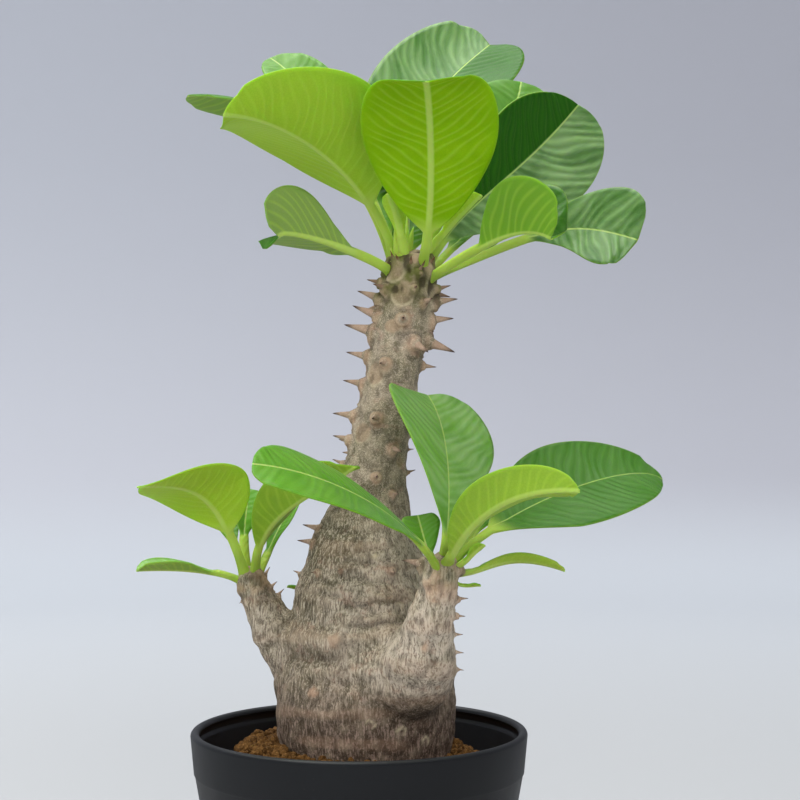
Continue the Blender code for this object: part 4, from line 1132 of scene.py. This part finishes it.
def build_spines(material):
    """All the spines, and the small dark tips between the leaves of the top head."""
    draw = random.Random(SEED + 1)
    young_level, youth = YOUNG_SPINES
    pieces = []
    rows = [(*row, 0.0) for row in SPINES] + [(TRUNK, *row, 1.0) for row in CROWN_TIPS]
    for *row, young in rows:
        line, level, azimuth, length, _tilt = row
        spine = grow_spine("spine", SPINE_PROFILE, row, draw)
        seat, _out, _up = seat_on_stem(line, level, azimuth)
        tip = np.linalg.norm(get_points(spine) - seat, axis=1) / length
        green = 0.0
        if line is TRUNK:
            green = 0.5 * float(ease(level, *GREEN_START))
            young = young or (youth if level > young_level else 0.0)
        paint(spine, "tip", np.where(tip > 0.4, tip, 0.5 * tip))
        paint(spine, "young", young)
        paint(spine, "marks", 0.0, 0.0, 0.35)
        paint(spine, "scars", 0.0, 0.0, green)
        pieces.append(spine)
    spines = join("spines", pieces)
    spines.data.shade_smooth()
    dress(spines, material, "bark")


# The leaves

def bezier(points, t):
    """Points and directions on a cubic curve."""
    p = np.array(points, float)
    t = t[:, None]
    s = 1 - t
    place = s**3 * p[0] + 3 * s * s * t * p[1] + 3 * s * t * t * p[2] + t**3 * p[3]
    way = s * s * (p[1] - p[0]) + 2 * s * t * (p[2] - p[1]) + t * t * (p[3] - p[2])
    return place, unit(way)


def even_steps(points, shares):
    """Curve parameters at shares of the curve's length, and that length."""
    t = np.linspace(0, 1, 201)
    place, _way = bezier(points, t)
    reach = np.concatenate([[0], np.cumsum(np.linalg.norm(np.diff(place, axis=0), axis=1))])
    return np.interp(shares * reach[-1], reach, t), float(reach[-1])


def outline(u, fullness, taper):
    """Half-width of a blade, from 0 to 1, at shares u of its length."""
    u = np.clip(u, 0, 1)
    peak = fullness / (fullness + taper)
    return u**fullness * (1 - u) ** taper / (peak**fullness * (1 - peak) ** taper)


def midrib(head, leaf):
    """The four points of the curve that the leaf follows, from inside its head to its tip."""
    centre, radii = HEADS[head]
    root = np.array(centre) + ROOT_DEPTH * np.array(radii) * direction(*leaf["root"])
    return [root, *leaf["route"]]


def half_width(leaf, k):
    """Half-width at shares k of the leaf's length, and how far along the blade they lie."""
    u = (k - leaf["stalk"]) / (1 - leaf["stalk"])
    blade = leaf["width"] / 2 * outline(u, leaf["fullness"], leaf["taper"])
    stalk = min(STALK_HALF, 0.3 * leaf["width"])
    foot = 1 + 0.7 * np.clip(1 - k / STALK_FOOT, 0, 1) ** 2
    return np.where(u < 0, stalk * foot, np.maximum(blade, stalk * np.clip(1 - u, 0.27, 1))), u


def leaf_points(head, leaf, k, v):
    """Places on a leaf at shares k along its midrib and v across it, from -1 to 1."""
    line = midrib(head, leaf)
    place, way = bezier(line, even_steps(line, k)[0])
    face = np.array(leaf["face"], float)
    normal = unit(face - (way @ face)[:, None] * way)
    side = np.cross(way, normal)
    half, u = half_width(leaf, k)
    opening = np.clip(3 * u, 0, 1) * np.clip(12 * (1 - u), 0.7, 1)
    left = v < 0
    fold = np.radians(np.where(left, *leaf["fold"])) * opening
    curl = np.radians(np.where(left, *leaf["curl"])) * opening + 1e-4
    soft = (np.sqrt(v * v + 0.006) - 0.0775) / 0.9255
    across = half * (np.sin(fold + curl * abs(v)) - np.sin(fold)) / curl
    lift = half * (np.cos(fold) - np.cos(fold + curl * abs(v))) / curl
    lift = lift * np.where(abs(v) > 1e-6, soft / np.maximum(abs(v), 1e-6), 0)
    lobe = np.where(left, *leaf["lobe"])
    reach = lobe * half * abs(v) / (leaf["width"] / 2) * np.clip(u, 0, 1) ** 4
    spread = side * (np.sign(v) * across)[:, None] + way * reach[:, None]
    return place + spread + normal * lift[:, None]


def leaf_normals(head, leaf, k, v):
    """The way the upper side faces at each place."""
    ahead = leaf_points(head, leaf, np.clip(k + NUDGE, 0, 1), v)
    behind = leaf_points(head, leaf, np.clip(k - NUDGE, 0, 1), v)
    right = leaf_points(head, leaf, k, v + NUDGE_ACROSS)
    left = leaf_points(head, leaf, k, v - NUDGE_ACROSS)
    return unit(np.cross(right - left, ahead - behind))


def quilt_blade(name, leaf, length, k, v):
    """The relief of a blade, and how many side veins lie between its root and each place."""
    quilt, wave, _age_and_light, _painted_haze = LEAF_DETAIL[name]
    draw = random.Random(name)
    half, u = half_width(leaf, k)
    run, aside = k * length, half * abs(v)
    spacing = VEIN_SPACING * (0.55 + 0.45 * min(1.0, length / LONG_LEAF))
    waver = 0.2 * np.sin(run * 0.55 + draw.uniform(0, 6)) + 0.22 * np.sin(run * 0.23 + 2 * v)
    sweep = VEIN_SLANT * aside + VEIN_BEND * aside**2
    phase = (run - sweep) / spacing + 0.45 * (v < 0) + waver
    in_blade = ease(u, *BLADE_START)
    swell = abs(np.sin(np.pi * phase)) ** 0.8 - 0.5
    patchy = 0.75 + 0.35 * np.sin(run * 0.13 + draw.uniform(0, 6) + 1.5 * np.sign(v))
    shape = (1 - bell(aside / 1.6)) * (1 - abs(v) ** 5) * (1 - ease(u, 0.85, 1.0))
    turn = draw.uniform(0, 6)
    ripple = np.sin(2 * np.pi * k * draw.uniform(*EDGE_WAVES) + turn + 1.7 * np.sign(v))
    edge = wave * abs(v) ** 2.4 * ripple * (1 - ease(u, 0.9, 1.0))
    return (quilt * swell * patchy * shape + edge) * in_blade, phase


def leaf_sides(leaf, k, v):
    """How far a leaf's upper and lower sides lie from its middle surface."""
    half, u = half_width(leaf, k)
    aside = half * abs(v)
    in_blade = ease(u, *BLADE_START)
    thick = min(STALK_THICK, STALK_SHARE * leaf["width"])
    foot = 1 + 0.35 * np.clip(1 - k / STALK_FOOT, 0, 1) ** 2
    stalk_half = 0.5 * thick * foot * np.sqrt(1 - 0.93 * v * v)
    blade_half = 0.5 * BLADE * (1 - 0.45 * abs(v) ** 6)
    rib_width = 0.55 + 1.15 * np.clip(1 - u, 0, 1)
    rib = 0.42 * thick * np.clip(1 - u, 0.08, 1) * bell(aside / rib_width)
    trough = TROUGH[0] * bell(aside / TROUGH[1]) * in_blade
    above = stalk_half * (1 - in_blade) + (blade_half - trough) * in_blade
    below = stalk_half * (1 - in_blade) + (blade_half + rib) * in_blade
    return above, below


def build_leaf(head, name, leaf, material):
    """A fine grid on the leaf's form, made two-sided, then quilted, waved and ribbed."""
    full_name = f"{head}_{name}"
    _quilt, _wave, age_and_light, painted_haze = LEAF_DETAIL[full_name]
    length = even_steps(midrib(head, leaf), np.zeros(1))[1]
    rows = int(np.clip(length / LEAF_STEP[0], *LEAF_ROWS))
    columns = 2 * int(np.clip(leaf["width"] / LEAF_STEP[1] / 2, *LEAF_COLUMNS))
    blade = fresh("leaf_" + full_name, bpy.ops.mesh.primitive_grid_add, x_subdivisions=rows,
                  y_subdivisions=columns, size=2)
    count = len(blade.data.vertices)
    modify(blade, "SOLIDIFY", thickness=0.1, offset=-1)
    flat = np.clip(get_points(blade) * MM, -1, 1)
    under = np.arange(len(flat)) < count
    k = (flat[:, 0] + 1) / 2
    k = k + 0.2 * k * (1 - k)
    v = np.sign(flat[:, 1]) * abs(flat[:, 1]) ** 1.15
    relief, phase = quilt_blade(full_name, leaf, length, k, v)
    above, below = leaf_sides(leaf, k, v)
    lift = relief + np.where(under, -below, above)
    normals = leaf_normals(head, leaf, k, v)
    set_points(blade, leaf_points(head, leaf, k, v) + normals * lift[:, None])

    half, u = half_width(leaf, k)
    stalk = (1 - ease(u, -0.02, 0.14)) + ease(-k, -0.2, -0.06)
    paint(blade, "veins", phase, half * v, 0)
    paint(blade, "faces", under, abs(v), stalk)
    paint(blade, "age_and_light", age_and_light, painted_haze, np.where(v < 0, *PAINTED_SHEEN.get(full_name, PAINTED_SHEEN_USUAL)))
    blade.data.shade_smooth()
    dress(blade, material, "leaf", "leaf_" + full_name)


def build_bud(material):
    """Folded young leaves and dry scales in the middle of the top head."""
    pieces = []
    for azimuth, lean, length, width in BUD_SCALES:
        aim, out = direction(azimuth, 90 - lean), direction(azimuth)
        foot = np.array(BUD_FOOT) + 1.6 * out
        line = [(*(foot + aim * share * length + 0.8 * out * share**2), radius * width)
                for share, radius in SCALE_PROFILE]
        scale = grow("scale", line, 14, 10)
        share = np.linalg.norm(get_points(scale) - foot, axis=1) / length
        paint(scale, "veins", share * 3, 5, 0)
        paint(scale, "faces", 1, 0, 1.9 - 1.2 * share)
        paint(scale, "age_and_light", -0.8, 0.3, 0.0)
        pieces.append(scale)
    bud = join("bud", pieces)
    bud.data.shade_smooth()
    dress(bud, material, "leaf")


# The pot and its soil

def wall_radius(z):
    """Outer radius of the pot's wall at a height."""
    top = POT_HEIGHT - COLLAR_HEIGHT
    return BASE_RADIUS + (RIM_RADIUS - COLLAR_STEP - BASE_RADIUS) * z / top


def inner_radius(z):
    return wall_radius(z) - WALL


def rim_arc(steps=8):
    """The rolled edge, from its outer side over to its inner side."""
    middle_r = RIM_RADIUS - RIM_ROUND
    middle_z = POT_HEIGHT - RIM_ROUND
    angles = [math.pi * i / steps for i in range(steps + 1)]
    return [(middle_r + RIM_ROUND * math.cos(a), middle_z + RIM_ROUND * math.sin(a)) for a in angles]


def pot_profile():
    """Radius and height from the foot, up the outside, over the rim and down the inside."""
    top = POT_HEIGHT - COLLAR_HEIGHT
    ledge = POT_HEIGHT - LEDGE_DEPTH
    collar = RIM_RADIUS - COLLAR_TAPER
    low = FLOOR + FOOT_SLOPE
    foot = [(BASE_RADIUS - 2.2, 0), (BASE_RADIUS - 0.7, 0.15), (BASE_RADIUS - 0.15, 0.7)]
    outside = [(wall_radius(low), low), (wall_radius(top), top - 0.4), (collar - 0.15, top),
               (collar - 0.04, top + 0.25), (collar, top + 0.8)]
    over_ledge = [(RIM_INSIDE - 0.4, POT_HEIGHT - 2.0), (RIM_INSIDE, POT_HEIGHT - 2.9),
                  (RIM_INSIDE, ledge + LEDGE_STEP + 0.3),
                  (RIM_INSIDE - 0.25, ledge + LEDGE_STEP - 0.1),
                  (RIM_INSIDE - LEDGE_STEP + 0.1, ledge + 0.1)]
    under_ledge = [(RIM_INSIDE - LEDGE_STEP, ledge - 0.2), (inner_radius(top) + 0.25, top + 0.5),
                   (inner_radius(top), top), (inner_radius(top - 4), top - 4)]
    floor = [(inner_radius(low), low), (inner_radius(FLOOR) - FOOT_SLOPE, FLOOR)]
    return foot + outside + rim_arc() + over_ledge + under_ledge + floor


def build_pot(material):
    """The wall with its rim, ledge and floor, and the drain holes cut through the floor."""
    pot = draw_rings("pot", pot_profile(), POT_SIDES, "NGON")
    drills = []
    for i in range(DRAIN_HOLES):
        place = direction(360 * (i + 0.5) / DRAIN_HOLES) * DRAIN_CIRCLE * MM
        drills.append(fresh("drill", bpy.ops.mesh.primitive_cylinder_add, vertices=DRAIN_SIDES,
                            radius=DRAIN_RADIUS * MM, depth=4 * FLOOR * MM, location=place))
    drill = join("drill", drills)
    modify(pot, "BOOLEAN", object=drill, operation="DIFFERENCE")
    bpy.data.objects.remove(drill, do_unlink=True)
    pick(pot)
    bpy.ops.object.shade_smooth_by_angle(angle=math.radians(POT_SMOOTH))
    dress(pot, material, "plastic", "pot")


def soil_height(x, y):
    """Level of the soil: heaped round the stem, and lower at the pot's wall."""
    crown = SOIL_CROWN + SOIL_LEAN * x
    return crown + (SOIL_WALL - crown) * float(ease(math.hypot(x, y), *SOIL_HEAP))


def build_bed(material):
    """The mass of the soil under its loose granules: rings drawn outwards, then down the wall."""
    shrink = inner_radius(SOIL_BOTTOM) / inner_radius(SOIL_WALL)
    profile = [(radius, SOIL_CROWN) for radius in BED_RADII]
    profile.append((SOIL_RADIUS * shrink, SOIL_BOTTOM))
    bed = draw_rings("soil_bed", profile, BED_SIDES, "TRIFAN")
    points = get_points(bed)
    for row in points:
        if row[2] > SOIL_BOTTOM + 1:
            row[2] = soil_height(row[0], row[1]) - 0.5
    set_points(bed, points)
    paint(bed, "tone", 0.15)
    dress(bed, material, "soil", "soil")


def granule_kind(number, draw):
    """One granule of broken clay: a small ball with flattened, uneven sides."""
    granule = fresh("granule", bpy.ops.mesh.primitive_ico_sphere_add, subdivisions=2, radius=1)
    points = get_points(granule) * MM
    for _cut in range(GRANULE_CUTS):
        way = unit(np.array([draw.gauss(0, 1) for _axis in range(3)]))
        over = np.maximum(points @ way - draw.uniform(0.6, 0.85), 0)
        points -= over[:, None] * way
    points *= 1 + 0.16 * uneven(points * 1.6, (1, 1, 1), 10 * number)[:, None]
    points *= np.array([draw.uniform(0.85, 1.15) for _axis in range(3)])
    return granule, points


def scatter(draw):
    """Places and sizes of the granules: a lower bed and a looser upper one."""
    stem_middle, stem_radius = STEM_IN_SOIL
    nearest, farthest = GRANULE_SPREAD
    large_share, enlarge = LARGE_GRANULES
    spots = []
    while len(spots) < GRANULES:
        radius = math.sqrt(draw.uniform(nearest**2, farthest**2))
        turned = draw.uniform(0, 2 * math.pi)
        place = np.array([radius * math.cos(turned), radius * math.sin(turned)])
        size = draw.uniform(*GRANULE_SIZE) * (enlarge if draw.random() < large_share else 1.0)
        if np.linalg.norm(place - stem_middle) < stem_radius + 0.35 * size:
            continue
        upper = len(spots) > LOWER_GRANULES * GRANULES
        rise = draw.uniform(0.2, 1.1) * size if upper else draw.uniform(-0.6, 0.3) * size
        level = soil_height(*place) + rise
        if radius > min(SOIL_RADIUS, inner_radius(level)) - 0.95 * size:
            continue
        spots.append((*place, level, size))
    return spots


def build_granules(material):
    """Loose clay granules over the top of the soil."""
    draw = random.Random(SEED + 2)
    kinds = [granule_kind(n, draw) for n in range(GRANULE_KINDS)]
    meshes = []
    for x, y, level, size in scatter(draw):
        granule, points = kinds[draw.randrange(GRANULE_KINDS)]
        turned = np.linalg.qr(np.array([[draw.gauss(0, 1) for _a in range(3)] for _b in range(3)]))[0]
        if np.linalg.det(turned) < 0:
            turned[:, 0] *= -1
        copy = granule.copy()
        copy.data = granule.data.copy()
        bpy.context.collection.objects.link(copy)
        set_points(copy, points @ turned * size + np.array([x, y, level]))
        paint(copy, "tone", draw.random())
        meshes.append(copy)
    granules = join("granules", meshes)
    for granule, _points in kinds:
        bpy.data.objects.remove(granule, do_unlink=True)
    pick(granules)
    bpy.ops.object.shade_smooth_by_angle(angle=math.radians(GRANULE_SMOOTH))
    dress(granules, material, "soil")


# The surroundings

def backdrop_finish():
    """Pale grey with painted light: lighter low on the wall, to the left and away from the floor's middle,
    and darker where the pot mirrors it, a painted darkness in its reflections.
    """
    f = Finish("backdrop")
    aside, _away, level = f.split(f.place)
    flat = f.stretch(f.place, 1, 1, 0)
    out = f.add("VectorMath", {0: flat}, operation="LENGTH").outputs["Value"]
    # Painted light: the floor lighter away from its middle, and the wall lighter low down and to the left
    ground = f.blend(f.step(out, 300.0, 1400.0), screen(181, 183, 184), screen(221, 226, 231))
    right = f.step(aside, -900.0, 900.0)
    low = f.blend(right, screen(223, 225, 231), screen(201, 202, 209))
    high = f.blend(right, screen(206, 209, 216), screen(181, 182, 189))
    wall = f.blend(f.step(level, -100.0, 600.0), low, high)
    colour = f.blend(f.step(level, 0.0, 120.0), ground, wall)
    # Painted reflection: darker where the backdrop is seen in glossy reflections
    mirrored = f.add("LightPath").outputs["Is Glossy Ray"]
    colour = f.tint(colour, mirrored, (40, 42, 46), 0.45)
    f.set(Base_Color=colour, Roughness=1.0, Specular_IOR_Level=0.0)
    return f.material


def build_backdrop():
    """A pale round floor that curves up into a wall all round."""
    profile = [(FLOOR_RADIUS + FLOOR_BEND * math.sin(a), FLOOR_BEND * (1 - math.cos(a)))
               for a in np.radians(np.linspace(0, 90, 11))]
    profile.append((FLOOR_RADIUS + FLOOR_BEND, BACKDROP_TOP))
    backdrop = draw_rings("backdrop", profile, BACKDROP_SIDES, "TRIFAN", closed=False)
    backdrop.data.shade_smooth()
    backdrop.data.materials.append(backdrop_finish())


def build_lights():
    """Soft round lamps, and the light of the room all round."""
    for name, (place, aim, size, power, glossy) in LAMPS.items():
        lamp = bpy.data.lights.new(name, "AREA")
        lamp.shape = "DISK"
        lamp.size = size
        lamp.energy = power
        obj = bpy.data.objects.new(name, lamp)
        obj.location = place
        obj.rotation_mode = "QUATERNION"
        obj.rotation_quaternion = (Vector(aim) - Vector(place)).to_track_quat("-Z", "Y")
        obj.visible_glossy = glossy
        bpy.context.scene.collection.objects.link(obj)
    world = bpy.data.worlds.new("room")
    world.use_nodes = True
    background = world.node_tree.nodes["Background"]
    background.inputs["Color"].default_value = ROOM_COLOUR
    background.inputs["Strength"].default_value = ROOM_STRENGTH
    bpy.context.scene.world = world


def build_camera():
    data = bpy.data.cameras.new("camera")
    data.sensor_width = CAMERA_SENSOR
    data.lens = CAMERA_LENS
    data.clip_start, data.clip_end = CAMERA_RANGE
    camera = bpy.data.objects.new("camera", data)
    camera.location = Vector(CAMERA_PLACE) * MM
    camera.rotation_euler = (math.pi / 2, 0, 0)
    bpy.context.scene.collection.objects.link(camera)
    bpy.context.scene.camera = camera


def build():
    build_camera()
    bpy.context.scene.view_settings.view_transform = "Standard"
    bark, spine, leaf = bark_finish(), spine_finish(), leaf_finish()
    soil, plastic = soil_finish(), pot_finish()
    build_stem(bark)
    build_spines(spine)
    for head, leaves in LEAVES.items():
        for name, row in leaves.items():
            build_leaf(head, name, {**LEAF_USUAL, **row}, leaf)
    build_bud(leaf)
    build_pot(plastic)
    build_bed(soil)
    build_granules(soil)
    build_backdrop()
    build_lights()


build()
